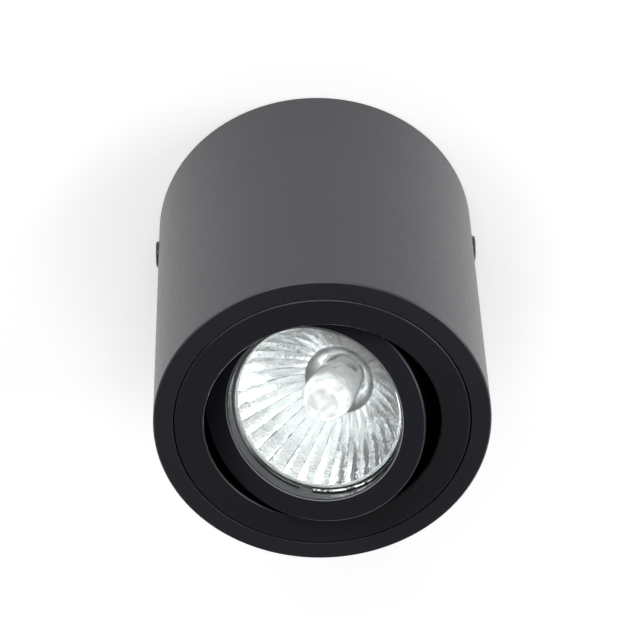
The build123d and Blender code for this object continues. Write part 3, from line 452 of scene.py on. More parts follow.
@dataclass(frozen=True)
class PowderCoat(Finish):
    """Matt black powder coat, slightly pebbled, with dust, and edges lighter partly from wear,
    partly as a painted highlight.
    """

    roughness: float = 0.42
    pebble: float = 0.00042
    pebble_depth: float = 0.000004
    dust: float = 0.5
    edge: float = 0.00035

    def paint(self, graph: Graph) -> None:
        """Build pebbles, cloudy tone, dust specks, and edges lighter from wear and a painted
        highlight.

        Args:
            graph: The graph to build in.
        """
        cloud = graph.noise(0.03, detail=4)
        grain = graph.noise(0.0006, detail=2)
        base = graph.blend(graph.span(cloud, 0.3, 0.7), self.tint(0.94), self.tint(1.06))
        base = graph.blend(graph.span(grain, 0.35, 0.75, 0.0, 0.35), base, self.tint(1.25))
        size = graph.span(graph.noise(0.009), 0.5, 0.75, 0.0, 0.03)
        speck = graph.math("LESS_THAN", graph.cells(0.012), size)
        base = graph.blend(graph.times(speck, self.dust), base, self.tint(7.0))
        # Lighter edges: partly wear, partly a painted highlight.
        edge = graph.edges(self.edge)
        wear_and_highlight = graph.times(edge, graph.span(graph.noise(0.004), 0.3, 0.7, 0.25, 0.8))
        base = graph.blend(wear_and_highlight, base, self.tint(2.4))
        rough = graph.span(graph.noise(0.0015), 0.2, 0.8,
                           self.roughness - 0.03, self.roughness + 0.04)
        rough = graph.math("SUBTRACT", rough, graph.times(edge, 0.14))
        pebbles = graph.noise(self.pebble, detail=2, rough=0.6)
        normal = graph.bump(pebbles, self.pebble_depth, 0.8, graph.rounded(self.edge))
        graph.set(Base_Color=base, Roughness=rough, Normal=normal)


@dataclass(frozen=True)
class TurnedCoat(PowderCoat):
    """A turned part's coat, with painted light in its bore, a painted highlight on the bore's lip
    and painted shade, near black, where no light comes.
    """

    place: Matrix = field(default_factory=Matrix)
    bore: float = 26.3 * MM
    bore_fade: float = 0.1 * MM
    bore_depth: tuple[float, float] = (0.2 * MM, 0.5 * MM)
    # Painted light: the bore is a lighter grey, standing in for light that the lamp's mirror throws
    # on it.
    bore_light_colour: Colour = (0.14, 0.147, 0.15)
    bore_roughness: float = 0.2
    bore_shine: float = 1.0
    plain_shine: float = 0.5
    lip_inset: float = 0.05 * MM
    lip_width: tuple[float, float] = (0.16 * MM, 0.1 * MM)
    lip_depth: tuple[float, float] = (0.9 * MM, 0.6 * MM)
    # Painted highlight: a light line along the bore's lip.
    lip_highlight_colour: Colour = (0.34, 0.35, 0.36)
    # Painted shade: near black and without gloss on the sides that no light reaches.
    painted_shade: tuple[float, float] = (30.0 * MM, 99.0 * MM)
    painted_shade_fade: float = 0.2 * MM
    painted_shade_depth: float = 0.9 * MM
    painted_shade_deepen: float = 0.3 * MM
    painted_shade_colour: Colour = (0.0008, 0.0008, 0.0009)
    painted_shade_roughness: float = 0.9

    def paint(self, graph: Graph) -> None:
        """Build the coat, then paint light into the bore, a highlight on its lip and shade on its
        hidden sides.

        Args:
            graph: The graph to build in.
        """
        super().paint(graph)
        local = graph.within(self.place)
        away, deep = graph.from_axis(local), graph.split(local)[2]
        inside = graph.times(graph.span(away, self.bore + self.bore_fade, self.bore),
                             graph.span(deep, *self.bore_depth))
        lip = graph.math("ABSOLUTE", graph.math("SUBTRACT", away, self.bore - self.lip_inset))
        lip = graph.times(graph.span(lip, *self.lip_width), graph.span(deep, *self.lip_depth))
        base = graph.shader.inputs["Base Color"].links[0].from_socket
        # Painted light in the bore, and a painted highlight on its lip.
        base = graph.blend(lip, graph.blend(inside, base, self.bore_light_colour), self.lip_highlight_colour)
        rough = graph.shader.inputs["Roughness"].links[0].from_socket
        rough = graph.choose(inside, rough, self.bore_roughness)
        shine = graph.choose(inside, self.plain_shine, self.bore_shine)
        # Painted shade, near black, on the hidden sides.
        painted_shade = self.painted_shade_mask(graph, away, deep)
        graph.set(Base_Color=graph.blend(painted_shade, base, self.painted_shade_colour),
                  Roughness=graph.choose(painted_shade, rough, self.painted_shade_roughness),
                  Specular_IOR_Level=graph.choose(painted_shade, shine, 0.0))

    def painted_shade_mask(self, graph: Graph, away: bpy.types.NodeSocket,
              deep: bpy.types.NodeSocket) -> bpy.types.NodeSocket:
        """Find the sides that no light reaches.

        Args:
            graph: The graph to build in.
            away: Distance from the part's axis.
            deep: Depth behind the part's face.

        Returns:
            A socket that is 1 on those sides and 0 elsewhere.
        """
        nearest, farthest = self.painted_shade
        beside = graph.times(graph.span(away, nearest - self.painted_shade_fade, nearest),
                             graph.span(away, farthest + self.painted_shade_fade, farthest))
        return graph.times(beside, graph.span(deep, self.painted_shade_depth,
                                              self.painted_shade_depth + self.painted_shade_deepen))


@dataclass(frozen=True)
class Plated(Finish):
    """Metal with a thin plating: clouded tone, fine scratches and dull patches."""

    roughness: float = 0.3
    stain: Colour = (0.45, 0.42, 0.36)
    stained: float = 0.35
    drawn: float = 0.0
    edge: float = 0.0002

    def paint(self, graph: Graph) -> None:
        """Build clouds of passivation, scratches and polished edges.

        Args:
            graph: The graph to build in.
        """
        cloud = graph.noise(0.007, detail=5, rough=0.6)
        base = graph.blend(graph.span(cloud, 0.45, 0.75, 0.0, self.stained),
                           self.colour, self.stain)
        edge = graph.edges(self.edge)
        base = graph.blend(graph.times(edge, 0.6), base, self.tint(1.25))
        fine = graph.noise(0.0011, detail=4, rough=0.7)
        rough = graph.span(fine, 0.25, 0.75, self.roughness - 0.07, self.roughness + 0.12)
        lines = graph.noise(0.0007, detail=2, place=graph.stretched((1.0, 0.03, 1.0), 0.6))
        height = graph.math("ADD", fine, graph.times(lines, 1.0 + 3.0 * self.drawn))
        normal = graph.bump(height, 0.000003, 0.7, graph.rounded(self.edge))
        graph.set(Base_Color=base, Metallic=1.0, Roughness=rough, Normal=normal)


@dataclass(frozen=True)
class Enamel(Finish):
    """Glossy black enamel or oxide on steel."""

    roughness: float = 0.2
    coat: float = 0.6
    edge: float = 0.00015

    def paint(self, graph: Graph) -> None:
        """Build a slightly uneven gloss with scuffed edges.

        Args:
            graph: The graph to build in.
        """
        cloud = graph.noise(0.002, detail=3)
        edge = graph.edges(self.edge)
        base = graph.blend(graph.span(cloud, 0.3, 0.7), self.tint(0.8), self.tint(1.25))
        base = graph.blend(graph.times(edge, 0.35), base, self.tint(4.0))
        rough = graph.span(cloud, 0.2, 0.8, self.roughness - 0.04, self.roughness + 0.08)
        normal = graph.bump(graph.noise(0.0004), 0.000003, 0.5, graph.rounded(self.edge))
        graph.set(Base_Color=base, Roughness=rough, Normal=normal, Coat_Weight=self.coat,
                  Coat_Roughness=0.04)


@dataclass(frozen=True)
class PaintedLightEnamel(Enamel):
    """Enamel of a wire, with a grey stretch of painted light where the lamp leans and bright
    painted highlights near one end.
    """

    lit_stretch: tuple[float, float] = (0.018, 0.058)
    lit_stretch_colour: Colour = (0.17, 0.175, 0.178)
    wear_and_highlight: tuple[float, float] = (0.136, 0.14)
    highlight_side: float = 0.5
    highlight_colour: Colour = (0.85, 0.87, 0.87)

    def paint(self, graph: Graph) -> None:
        """Build the enamel, then paint light and highlights on it by the length along the wire.

        Args:
            graph: The graph to build in.
        """
        super().paint(graph)
        around, along = graph.chart()
        # Painted light: a grey stretch of wire that matches the lit bore wall beside it.
        first, last = self.lit_stretch
        lit_stretch = graph.times(graph.span(along, first - 0.005, first + 0.003),
                             graph.span(along, last + 0.004, last - 0.004))
        base = graph.shader.inputs["Base Color"].links[0].from_socket
        base = graph.blend(lit_stretch, base, self.lit_stretch_colour)
        # Painted highlights: bright metal patches near one end of the wire.
        turn = graph.times(graph.math("SUBTRACT", around, self.highlight_side), TURN)
        patchy = graph.times(graph.span(graph.noise(0.0022, detail=3), 0.42, 0.5),
                             graph.span(graph.math("COSINE", turn), 0.55, 0.75))
        wear_and_highlight = graph.times(patchy, graph.span(along, *self.wear_and_highlight))
        graph.set(Base_Color=graph.blend(wear_and_highlight, base, self.highlight_colour), Metallic=wear_and_highlight)


@dataclass(frozen=True)
class Moulded(Finish):
    """Moulded plastic or rubber, with flow clouds and a fine spark-eroded grain."""

    roughness: float = 0.45
    soft_light: float = 0.1
    grain: float = 0.00035
    grain_depth: float = 0.000006
    edge: float = 0.00025

    def paint(self, graph: Graph) -> None:
        """Build flow clouds, soil, grain and rounded edges.

        Args:
            graph: The graph to build in.
        """
        cloud = graph.noise(0.006, detail=3)
        base = graph.blend(graph.span(cloud, 0.3, 0.7), self.tint(0.93), self.tint(1.05))
        soil = graph.span(graph.noise(0.0022, detail=4), 0.55, 0.8, 0.0, 0.25)
        base = graph.blend(soil, base, self.tint(0.7))
        grain = graph.noise(self.grain, detail=3, rough=0.6)
        rough = graph.span(grain, 0.3, 0.7, self.roughness - 0.06, self.roughness + 0.08)
        normal = graph.bump(grain, self.grain_depth, 0.8, graph.rounded(self.edge))
        graph.set(Base_Color=base, Roughness=rough, Normal=normal,
                  Subsurface_Weight=self.soft_light, Subsurface_Radius=(0.6, 0.5, 0.4),
                  Subsurface_Scale=0.001)


@dataclass(frozen=True)
class Ceramic(Finish):
    """Unglazed white ceramic: chalky, with pores, grey rubs and rounded edges."""

    roughness: float = 0.62
    pore: float = 0.0009
    edge: float = 0.0003

    def paint(self, graph: Graph) -> None:
        """Build clouds, grey rubs, dark pores and rounded edges.

        Args:
            graph: The graph to build in.
        """
        cloud = graph.noise(0.008, detail=5, rough=0.6)
        base = graph.blend(graph.span(cloud, 0.35, 0.7), self.tint(0.9), self.tint(1.04))
        rub = graph.noise(0.002, detail=3, place=graph.stretched((1.0, 0.25, 1.0), 0.9))
        base = graph.blend(graph.span(rub, 0.62, 0.8, 0.0, 0.3), base, self.tint(0.55))
        pit = graph.span(graph.cells(self.pore), 0.16, 0.05)
        base = graph.blend(graph.times(pit, 0.5), base, self.tint(0.5))
        grain = graph.noise(0.0002, detail=2)
        height = graph.math("SUBTRACT", graph.times(grain, 0.4), pit)
        normal = graph.bump(height, 0.00001, 0.8, graph.rounded(self.edge))
        rough = graph.span(grain, 0.3, 0.7, self.roughness - 0.06, self.roughness + 0.06)
        graph.set(Base_Color=base, Roughness=rough, Normal=normal)


@dataclass(frozen=True)
class Sleeve(Finish):
    """Silicone sleeve of a lead, with an optional second colour in two stripes."""

    stripe: Colour | None = None
    roughness: float = 0.42

    def paint(self, graph: Graph) -> None:
        """Build the sleeve's colour, stripes, dust and a faint lay of the strands.

        Args:
            graph: The graph to build in.
        """
        around, along = graph.chart()
        cloud = graph.noise(0.003, detail=3)
        base = graph.blend(graph.span(cloud, 0.3, 0.7), self.tint(0.85), self.tint(1.12))
        if self.stripe is not None:
            wave = graph.math("SINE", graph.times(around, 2.0 * TURN))
            base = graph.blend(graph.span(wave, -0.06, 0.06), base, self.stripe)
        dust = graph.span(graph.noise(0.0008, detail=4), 0.6, 0.8, 0.0, 0.22)
        base = graph.blend(dust, base, (0.6, 0.58, 0.55))
        twist = graph.math("ADD", graph.times(around, 7.0), graph.times(along, 260.0))
        lay = graph.math("SINE", graph.times(twist, TURN))
        height = graph.math("ADD", graph.times(lay, 0.25), graph.noise(0.0004))
        normal = graph.bump(height, 0.000012, 0.5)
        rough = graph.span(graph.noise(0.0007), 0.3, 0.7,
                           self.roughness - 0.06, self.roughness + 0.08)
        graph.set(Base_Color=base, Roughness=rough, Normal=normal, Subsurface_Weight=0.06,
                  Subsurface_Radius=(0.5, 0.4, 0.3), Subsurface_Scale=0.0006)


@dataclass(frozen=True)
class Glass(Finish):
    """Clear glass or quartz, with faint waves and dust."""

    ior: float = 1.5
    wave: float = 0.006
    wave_depth: float = 0.000012
    haze: float = 0.02

    def paint(self, graph: Graph) -> None:
        """Build a clear body with an uneven surface and dusty spots.

        Args:
            graph: The graph to build in.
        """
        spots = graph.span(graph.noise(0.0009, detail=4), 0.66, 0.8, 0.0, 1.0)
        base = graph.blend(graph.times(spots, 0.25), self.colour, self.tint(0.85))
        rough = graph.span(graph.noise(0.002), 0.3, 0.8, 0.0, self.haze)
        normal = graph.bump(graph.noise(self.wave, detail=2), self.wave_depth, 1.0)
        graph.set(Base_Color=base, Roughness=rough, Normal=normal, IOR=self.ior,
                  Transmission_Weight=1.0)


@dataclass(frozen=True)
class PaintedLightGlass(Glass):
    """Quartz with white mixed in as painted light, most of all round the shoulder of its dome."""

    place: Matrix = field(default_factory=Matrix)
    crown: float = 0.5
    shoulder: float = 0.95
    tube: float = 0.3
    crown_radius: float = 4.2 * MM
    crown_fade: float = 1.0 * MM
    tube_depth: tuple[float, float] = (13.0 * MM, 17.0 * MM)

    def paint(self, graph: Graph) -> None:
        """Build the clear body, then mix in white as painted light by its place in the lamp.

        Args:
            graph: The graph to build in.
        """
        super().paint(graph)
        local = graph.within(self.place)
        # Painted light: white stands in for the bright reflections seen in the clear quartz.
        front = graph.span(graph.from_axis(local), self.crown_radius,
                           self.crown_radius + self.crown_fade, self.crown, self.shoulder)
        behind = graph.span(graph.split(local)[2], *self.tube_depth)
        cloud = graph.choose(behind, front, self.tube)
        patch = graph.span(graph.noise(0.0026, detail=4), 0.35, 0.65, 0.6, 1.15)
        clear = graph.math("SUBTRACT", 1.0, graph.times(cloud, patch))
        graph.set(Transmission_Weight=clear)


@dataclass(frozen=True)
class MirrorCoat(Finish):
    """Aluminised glass, peened, with painted shade in the creases between flutes and deep in the
    throat, and painted dark reflections on some flutes.
    """

    roughness: float = 0.05
    dimple: float = 0.0009
    dimple_depth: float = 0.00011
    groove_shade: float = 0.0
    groove_shade_tint: float = 0.2
    reflection_sector: tuple[float, float] = (21.6, 27.6)
    reflection_stripe_colour: Colour = (0.09, 0.092, 0.1)
    flecked: float = 0.95
    fleck_colour: Colour = (0.3, 0.345, 0.34)
    deep_shade: tuple[float, float] | None = None
    deep_shade_tint: float = 0.09

    def paint(self, graph: Graph) -> None:
        """Build the mirror's dimples, streaks, flecks, painted dark reflections and painted shade.

        Args:
            graph: The graph to build in.
        """
        ripple = graph.noise(0.0024, detail=4, rough=0.7)
        base = graph.blend(graph.span(ripple, 0.4, 0.7), self.tint(0.92), self.colour)
        if self.groove_shade:
            # Painted reflection: dark stripes on one side of some flutes, where the black ring
            # would show.
            base = graph.blend(self.painted_reflection_stripes(graph), base, self.reflection_stripe_colour)
            base = graph.blend(self.flecks(graph), base, self.fleck_colour)
            # Painted shade: dark lines in the creases between flutes.
            base = graph.blend(self.groove_shade_lines(graph), base, self.tint(self.groove_shade_tint))
        if self.deep_shade is not None:
            # Painted shade: the throat is darker towards its deepest end.
            thin = graph.span(graph.chart()[1], *self.deep_shade, 1.0, 0.0)
            base = graph.blend(thin, base, self.tint(self.deep_shade_tint))
        rough = graph.span(graph.noise(0.0016), 0.3, 0.75, self.roughness, self.roughness + 0.12)
        dimples = graph.cells(self.dimple, feature="SMOOTH_F1")
        height = graph.math("ADD", graph.times(dimples, 0.6), ripple)
        fine = graph.noise(0.0007, detail=2, rough=0.6)
        height = graph.math("ADD", height, graph.times(fine, 0.35))
        normal = graph.bump(height, self.dimple_depth, 1.0)
        graph.set(Base_Color=base, Metallic=1.0, Roughness=rough, Normal=normal)

    def painted_reflection_stripes(self, graph: Graph) -> bpy.types.NodeSocket:
        """Find where a dark reflection is painted on one side of each flute, along part of the rim.

        Args:
            graph: The graph to build in.

        Returns:
            A socket that is 1 there and 0 elsewhere.
        """
        flute, depth = graph.chart()
        first, last = self.reflection_sector
        sector = graph.times(graph.span(flute, first - 0.8, first + 0.8),
                             graph.span(flute, last + 0.8, last - 0.8))
        ragged = graph.span(graph.noise(0.0016, detail=4, rough=0.7), 0.25, 0.75, -0.16, 0.16)
        part = graph.math("FRACT", graph.math("ADD", flute, ragged))
        reflection_stripe = graph.times(graph.span(part, 0.06, 0.16), graph.span(part, 0.56, 0.46))
        reach = graph.span(graph.math("ADD", depth, graph.times(ragged, 0.5)), 0.9, 0.62)
        return graph.times(graph.times(reflection_stripe, sector), reach)

    def flecks(self, graph: Graph) -> bpy.types.NodeSocket:
        """Find small flecks in the coat, closer together in some places.

        Args:
            graph: The graph to build in.

        Returns:
            A socket that is 1 in a fleck and 0 elsewhere.
        """
        crowd = graph.span(graph.noise(0.008, detail=3, rough=0.6), 0.48, 0.68, 0.05, 0.4)
        fleck = graph.cells(0.0011, place=graph.stretched((1.0, 1.0, 0.6)))
        small = graph.span(graph.math("SUBTRACT", fleck, crowd), 0.03, -0.06)
        few = graph.span(graph.noise(0.0013, detail=2), 0.5, 0.58)
        return graph.times(graph.times(small, few), self.flecked)

    def groove_shade_lines(self, graph: Graph) -> bpy.types.NodeSocket:
        """Find broken lines where two flutes meet, which are painted dark as shade in the creases.

        Args:
            graph: The graph to build in.

        Returns:
            A socket that is high in the lines and 0 on the flutes.
        """
        flute = graph.chart()[0]
        wander = graph.span(graph.noise(0.0021, detail=4, rough=0.7), 0.2, 0.8, -0.05, 0.05)
        part = graph.math("FRACT", graph.math("ADD", flute, wander))
        away = graph.math("ABSOLUTE", graph.math("SUBTRACT", part, 0.5))
        width = graph.span(graph.noise(0.0035, detail=5, rough=0.75), 0.42, 0.7, 0.0, 0.1)
        line = graph.span(graph.math("ADD", away, width), 0.485, 0.5)
        return graph.times(line, self.groove_shade)


class Finishes:
    """The finishes of this light, one per kind of surface."""

    # The housing and trim coats get painted shade, near black, on their sides inside the housing.
    housing_coat = TurnedCoat("housing_coat", (0.0243, 0.0231, 0.0285), roughness=0.34,
                              place=Rest().face(), bore=0.0, painted_shade=(0.0, 47.2 * MM),
                              painted_shade_depth=0.7 * MM)
    trim_coat = TurnedCoat("trim_coat", (0.0172, 0.0165, 0.021), roughness=0.36, dust=0.35,
                           place=Rest().face(), bore=0.0, painted_shade=(0.0, 99.0 * MM),
                           painted_shade_depth=0.45 * MM)
    # The gimbal ring's coat has painted light in its bore, a painted highlight on the bore's lip
    # and painted shade on its outer side behind its face.
    ring_coat = TurnedCoat("ring_coat", (0.0152, 0.0155, 0.0215), roughness=0.34, dust=0.3,
                           place=Rest().carrier())
    screw_oxide = Enamel("screw_oxide", (0.012, 0.012, 0.013), roughness=0.3, coat=0.2)
    # The retaining wire carries a grey stretch of painted light and painted highlights near one
    # end.
    wire_enamel = PaintedLightEnamel("wire_enamel", (0.008, 0.008, 0.009), roughness=0.1, coat=1.0)
    zinc_sheet = Plated("zinc_sheet", (0.62, 0.64, 0.66), stain=(0.5, 0.46, 0.36), drawn=1.0)
    zinc_screw = Plated("zinc_screw", (0.68, 0.68, 0.66), roughness=0.24, stained=0.2)
    spring_steel = Plated("spring_steel", (0.5, 0.51, 0.54), roughness=0.22,
                          stain=(0.3, 0.34, 0.45), stained=0.5, drawn=1.0)
    brass = Plated("brass", (0.83, 0.62, 0.28), roughness=0.26, stain=(0.5, 0.33, 0.14))
    copper = Plated("copper", (0.86, 0.48, 0.3), roughness=0.3, stain=(0.5, 0.26, 0.14), drawn=1.0)
    nickel = Plated("nickel", (0.76, 0.73, 0.67), roughness=0.2, stained=0.2)
    cover_sheet = Plated("cover_sheet", (0.66, 0.66, 0.67), roughness=0.32, drawn=0.6)
    tungsten = Plated("tungsten", (0.42, 0.41, 0.42), roughness=0.35, stained=0.4, drawn=1.0)
    rubber = Moulded("rubber", (0.022, 0.022, 0.023), roughness=0.6, soft_light=0.0)
    polyamide = Moulded("polyamide", (0.8, 0.79, 0.74), roughness=0.42, soft_light=0.25)
    nylon = Moulded("nylon", (0.82, 0.81, 0.76), roughness=0.38, soft_light=0.35)
    steatite = Ceramic("steatite", (0.82, 0.8, 0.75))
    cement = Ceramic("cement", (0.6, 0.58, 0.55), roughness=0.75, pore=0.0005)
    brown_sleeve = Sleeve("brown_sleeve", (0.16, 0.062, 0.03))
    blue_sleeve = Sleeve("blue_sleeve", (0.03, 0.11, 0.38))
    earth_sleeve = Sleeve("earth_sleeve", (0.11, 0.3, 0.045), stripe=(0.8, 0.62, 0.04))
    lamp_glass = Glass("lamp_glass", (0.97, 0.985, 0.98), ior=1.5)
    # The burner's quartz is partly white, as painted light.
    quartz = PaintedLightGlass("quartz", (0.975, 0.99, 0.99), ior=1.46, wave=0.003, wave_depth=0.00007,
                        place=Rest().carrier())
    # The mirror's dark lines between flutes are painted shade, and its dark stripes on some flutes
    # painted reflections.
    mirror = MirrorCoat("mirror", (0.93, 0.95, 0.955), groove_shade=0.8)
    # The throat's coat is a darker copy of the mirror's, as painted shade, and darker still at its
    # deepest end.
    throat_mirror = MirrorCoat("throat_mirror", (0.74, 0.77, 0.78), roughness=0.06,
                               dimple_depth=0.00006, deep_shade=(1.17, 1.26))
    mirror_back = MirrorCoat("mirror_back", (0.78, 0.79, 0.8), roughness=0.14, dimple_depth=0.00001)
    # Painted light: the reflector's rim faces are near white, standing in for the light that its
    # clear glass edge catches.
    rim_glass = Ceramic("rim_glass", (0.8, 0.85, 0.84), roughness=0.25, pore=0.0006)
    rim_seal = Moulded("rim_seal", (0.8, 0.86, 0.85), roughness=0.4, soft_light=0.2)


# ---------------------------------------------------------------- meshes
def linked(name: str, data: bpy.types.ID) -> bpy.types.Object:
    """Put a mesh, a lamp or a camera into the scene.

    Args:
        name: The object's name.
        data: What the object holds.

    Returns:
        The object.
    """
    piece = bpy.data.objects.new(name, data)
    bpy.context.scene.collection.objects.link(piece)
    return piece


def made_object(name: str, points: list[Vector], faces: list[tuple[int, ...]],
                frame_matrix: Matrix) -> bpy.types.Object:
    """Make a smooth mesh object.

    Args:
        name: The piece's name.
        points: Corners in the given frame.
        faces: Corner numbers of each face.
        frame_matrix: The frame that the corners are in.

    Returns:
        The object, with its corners in the row frame and facing outwards.
    """
    mesh = bpy.data.meshes.new(name)
    mesh.from_pydata([frame_matrix @ Vector(point) for point in points], [], faces)
    solid = bmesh.new()
    solid.from_mesh(mesh)
    bmesh.ops.recalc_face_normals(solid, faces=solid.faces)
    solid.to_mesh(mesh)
    solid.free()
    mesh.shade_smooth()
    return linked(name, mesh)


def ring_faces(rings: int, sides: int, closed: bool = False) -> list[tuple[int, ...]]:
    """Return the faces between rings of corners.

    Args:
        rings: How many rings there are.
        sides: Corners of each ring.
        closed: Whether the last ring joins the first, or both ends have caps.

    Returns:
        Corner numbers of each face, the two caps last.
    """
    faces = []
    for ring in range(rings if closed else rings - 1):
        here, there = ring * sides, (ring + 1) % rings * sides
        for side in range(sides):
            after = (side + 1) % sides
            faces.append((here + side, here + after, there + after, there + side))
    if not closed:
        faces.append(tuple(reversed(range(sides))))
        faces.append(tuple((rings - 1) * sides + side for side in range(sides)))
    return faces


def sharpened(piece: bpy.types.Object, degrees: float) -> None:
    """Keep edges sharper than an angle crisp in the smooth shading."""
    piece.data.set_sharp_from_angle(angle=math.radians(degrees))


def spline_points(route: list[Point], resolution: int = 14) -> list[Vector]:
    """Return points on the smooth line of a route.

    Args:
        route: Control points of the line, in metres.
        resolution: Points per stretch of the line.

    Returns:
        Points read from a NURBS spline through Blender's own curve.
    """
    curve = bpy.data.curves.new("route", "CURVE")
    curve.dimensions = "3D"
    curve.resolution_u = resolution
    spline = curve.splines.new("NURBS")
    spline.points.add(len(route) - 1)
    for point, place in zip(spline.points, route):
        point.co = (*place, 1.0)
    spline.order_u = 3
    spline.use_endpoint_u = True
    holder = bpy.data.objects.new("route", curve)
    line = bpy.data.meshes.new_from_object(holder)
    points = [vertex.co.copy() for vertex in line.vertices]
    bpy.data.meshes.remove(line)
    bpy.data.objects.remove(holder)
    bpy.data.curves.remove(curve)
    return points


def swept(name: str, line: list[Vector], radius: float, sides: int,
          frame_matrix: Matrix | None = None) -> bpy.types.Object:
    """Sweep a circle along a line without twist, with the place on it as a UV map.

    Args:
        name: The piece's name.
        line: Points along the middle.
        radius: Radius of the tube.
        sides: Corners round it.
        frame_matrix: The frame that the line is in, if not the row frame.

    Returns:
        The tube, with U round it and V in metres along it.
    """
    ahead = (line[1] - line[0]).normalized()
    out = ahead.orthogonal().normalized()
    points, places, walked = [], [], 0.0
    for index, middle in enumerate(line):
        before, after = line[max(index - 1, 0)], line[min(index + 1, len(line) - 1)]
        onward = (after - before).normalized()
        out = (ahead.rotation_difference(onward) @ out).normalized()
        ahead = onward
        beside = ahead.cross(out)
        walked += (middle - line[max(index - 1, 0)]).length
        for side in range(sides):
            angle = TURN * side / sides
            points.append(middle + radius * (math.cos(angle) * out + math.sin(angle) * beside))
            places.append((side / sides, walked))
    piece = made_object(name, points, ring_faces(len(line), sides), frame_matrix or Matrix())
    chart = piece.data.uv_layers.new(name="UVMap")
    for face in piece.data.polygons:
        corners = {loop: places[piece.data.loops[loop].vertex_index] for loop in face.loop_indices}
        crosses_seam = max(around for around, along in corners.values()) > 0.75
        for loop, (around, along) in corners.items():
            if crosses_seam and around < 0.25:
                around += 1.0
            chart.data[loop].uv = (around, along)
    sharpened(piece, 50)
    return piece


@dataclass
class SubAssembly:
    """A group of pieces that one method dresses and another adds to."""

    body: Body
    finishes: dict[str, Finish] = field(default_factory=dict)

    def dress(self) -> None:
        """Give every listed CAD node its finish."""
        for node, finish in self.finishes.items():
            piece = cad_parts[node]
            material = finish.material()
            if not piece.material_slots:
                piece.data.materials.append(material)
            for slot in piece.material_slots:
                slot.material = material
            LOG.info("%s dressed in %s", node, finish.name)

    def build(self) -> None:
        """Make the pieces that replace plain solids."""

    def seat(self, piece: bpy.types.Object, finish: Finish | None, slot: str,
             *nodes: str) -> None:
        """Finish a new piece and let it ride in place of CAD nodes.

        Args:
            piece: The new piece.
            finish: Its finish, or None where its materials are set already.
            slot: The record's material slot; not used.
            nodes: The CAD nodes that it replaces.
        """
        if finish is not None:
            piece.data.materials.append(finish.material())
        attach(piece, self.body.value)
        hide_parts(*nodes)
        LOG.info("%s stands for %s", piece.name, ", ".join(nodes))


# ---------------------------------------------------------------- housing and wiring
@dataclass
class Housing(SubAssembly):
    """The coated tube, its bracket and what is screwed to the bracket."""

    body: Body = Body.HOUSING
    finishes: dict[str, Finish] = field(default_factory=lambda: {
        "housing_tube": Finishes.housing_coat,
        "side_screws": Finishes.screw_oxide,
        "ceiling_bracket": Finishes.zinc_sheet,
        "cable_grommet": Finishes.rubber,
        "terminal_block": Finishes.polyamide,
        "terminal_clamps": Finishes.brass,
        "terminal_screws": Finishes.zinc_screw,
        "block_screws": Finishes.zinc_screw,
        "earth_washer": Finishes.spring_steel,
        "earth_tag": Finishes.nickel,
        "earth_screw": Finishes.brass,
        "conductor_ends": Finishes.copper,
    })


@dataclass(frozen=True)
class LeadRoute:
    """One stretch of lead: where it runs, what it replaces and the bodies it runs between."""

    node: str
    slot: str
    finish: Finish
    route: list[Point]
    bends: tuple[Body, Body] | None = None
    length: float | None = None


@dataclass
class Wiring:
    """The leads from the terminal block through the tie to the lampholder."""

    diameter: float = 2.4 * MM
    sides: int = 20
    tie_top: float = -0.0150
    tie_low: float = -0.0220

    def routes(self) -> list[LeadRoute]:
        """List every stretch of lead.

        Returns:
            The stretches, by their route points in the row frame.
        """
        twist = (Body.HOUSING, Body.INSERT)
        bend = (Body.INSERT, Body.CARRIER)
        return [
            LeadRoute("earth_lead", "lead_earth", Finishes.earth_sleeve, [
                (-0.0132, 0.0057, -0.00375), (-0.0132, 0.012, -0.00375),
                (-0.009, 0.0171, -0.009), (-0.009, 0.0195, -0.009)]),
            LeadRoute("live_lead_upper", "lead_brown", Finishes.brown_sleeve, [
                (0.009, 0.0195, -0.009), (0.009, 0.0145, -0.009), (0.0066, 0.00741, -0.0106),
                (0.00082, -0.00108, -0.0147), (0.00082, -0.00108, -0.0233)], twist, 0.0313),
            LeadRoute("neutral_lead_upper", "lead_blue", Finishes.blue_sleeve, [
                (0.0, 0.0195, -0.009), (0.0, 0.0145, -0.009), (-0.0004, 0.00761, -0.0104),
                (-0.00082, 0.00108, -0.0147), (-0.00082, 0.00108, -0.0233)], twist),
            LeadRoute("live_lead_lower", "lead_brown", Finishes.brown_sleeve, [
                (0.00082, -0.00108, -0.0233), (0.00082, -0.00108, -0.0293),
                (0.0095, -0.0036, -0.033), (0.02042, -0.00209, -0.0296),
                (0.02643, 0.0065, -0.0244), (0.02435, 0.01221, -0.02927),
                (0.02143, 0.00999, -0.03803)], bend, 0.0527),
            LeadRoute("neutral_lead_lower", "lead_blue", Finishes.blue_sleeve, [
                (-0.00082, 0.00108, -0.0233), (-0.00082, 0.00108, -0.0293),
                (-0.00091, 0.01012, -0.033), (0.00348, 0.02023, -0.0296),
                (0.01337, 0.02371, -0.0244), (0.01831, 0.02017, -0.02927),
                (0.01538, 0.01795, -0.03803)], bend, 0.0527),
        ]

    def build(self) -> None:
        """Make every stretch of lead as a sleeve on its own smooth line."""
        for lead in self.routes():
            line = spline_points(lead.route)
            name = lead.node.replace("_lead", "_sleeve")
            piece = swept(name, line, self.diameter / 2, self.sides)
            piece.data.materials.append(lead.finish.material())
            if lead.bends is None:
                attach(piece, Body.HOUSING.value)
            else:
                self.bend(piece, lead, line)
            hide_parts(lead.node)
            LOG.info("%s laid along %d points", piece.name, len(line))

    def bend(self, piece: bpy.types.Object, lead: LeadRoute, line: list[Vector]) -> None:
        """Args:
            piece: The stretch's sleeve.
            lead: What the stretch is; not used.
            line: Points along its middle; not used.
        """
        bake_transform(piece)


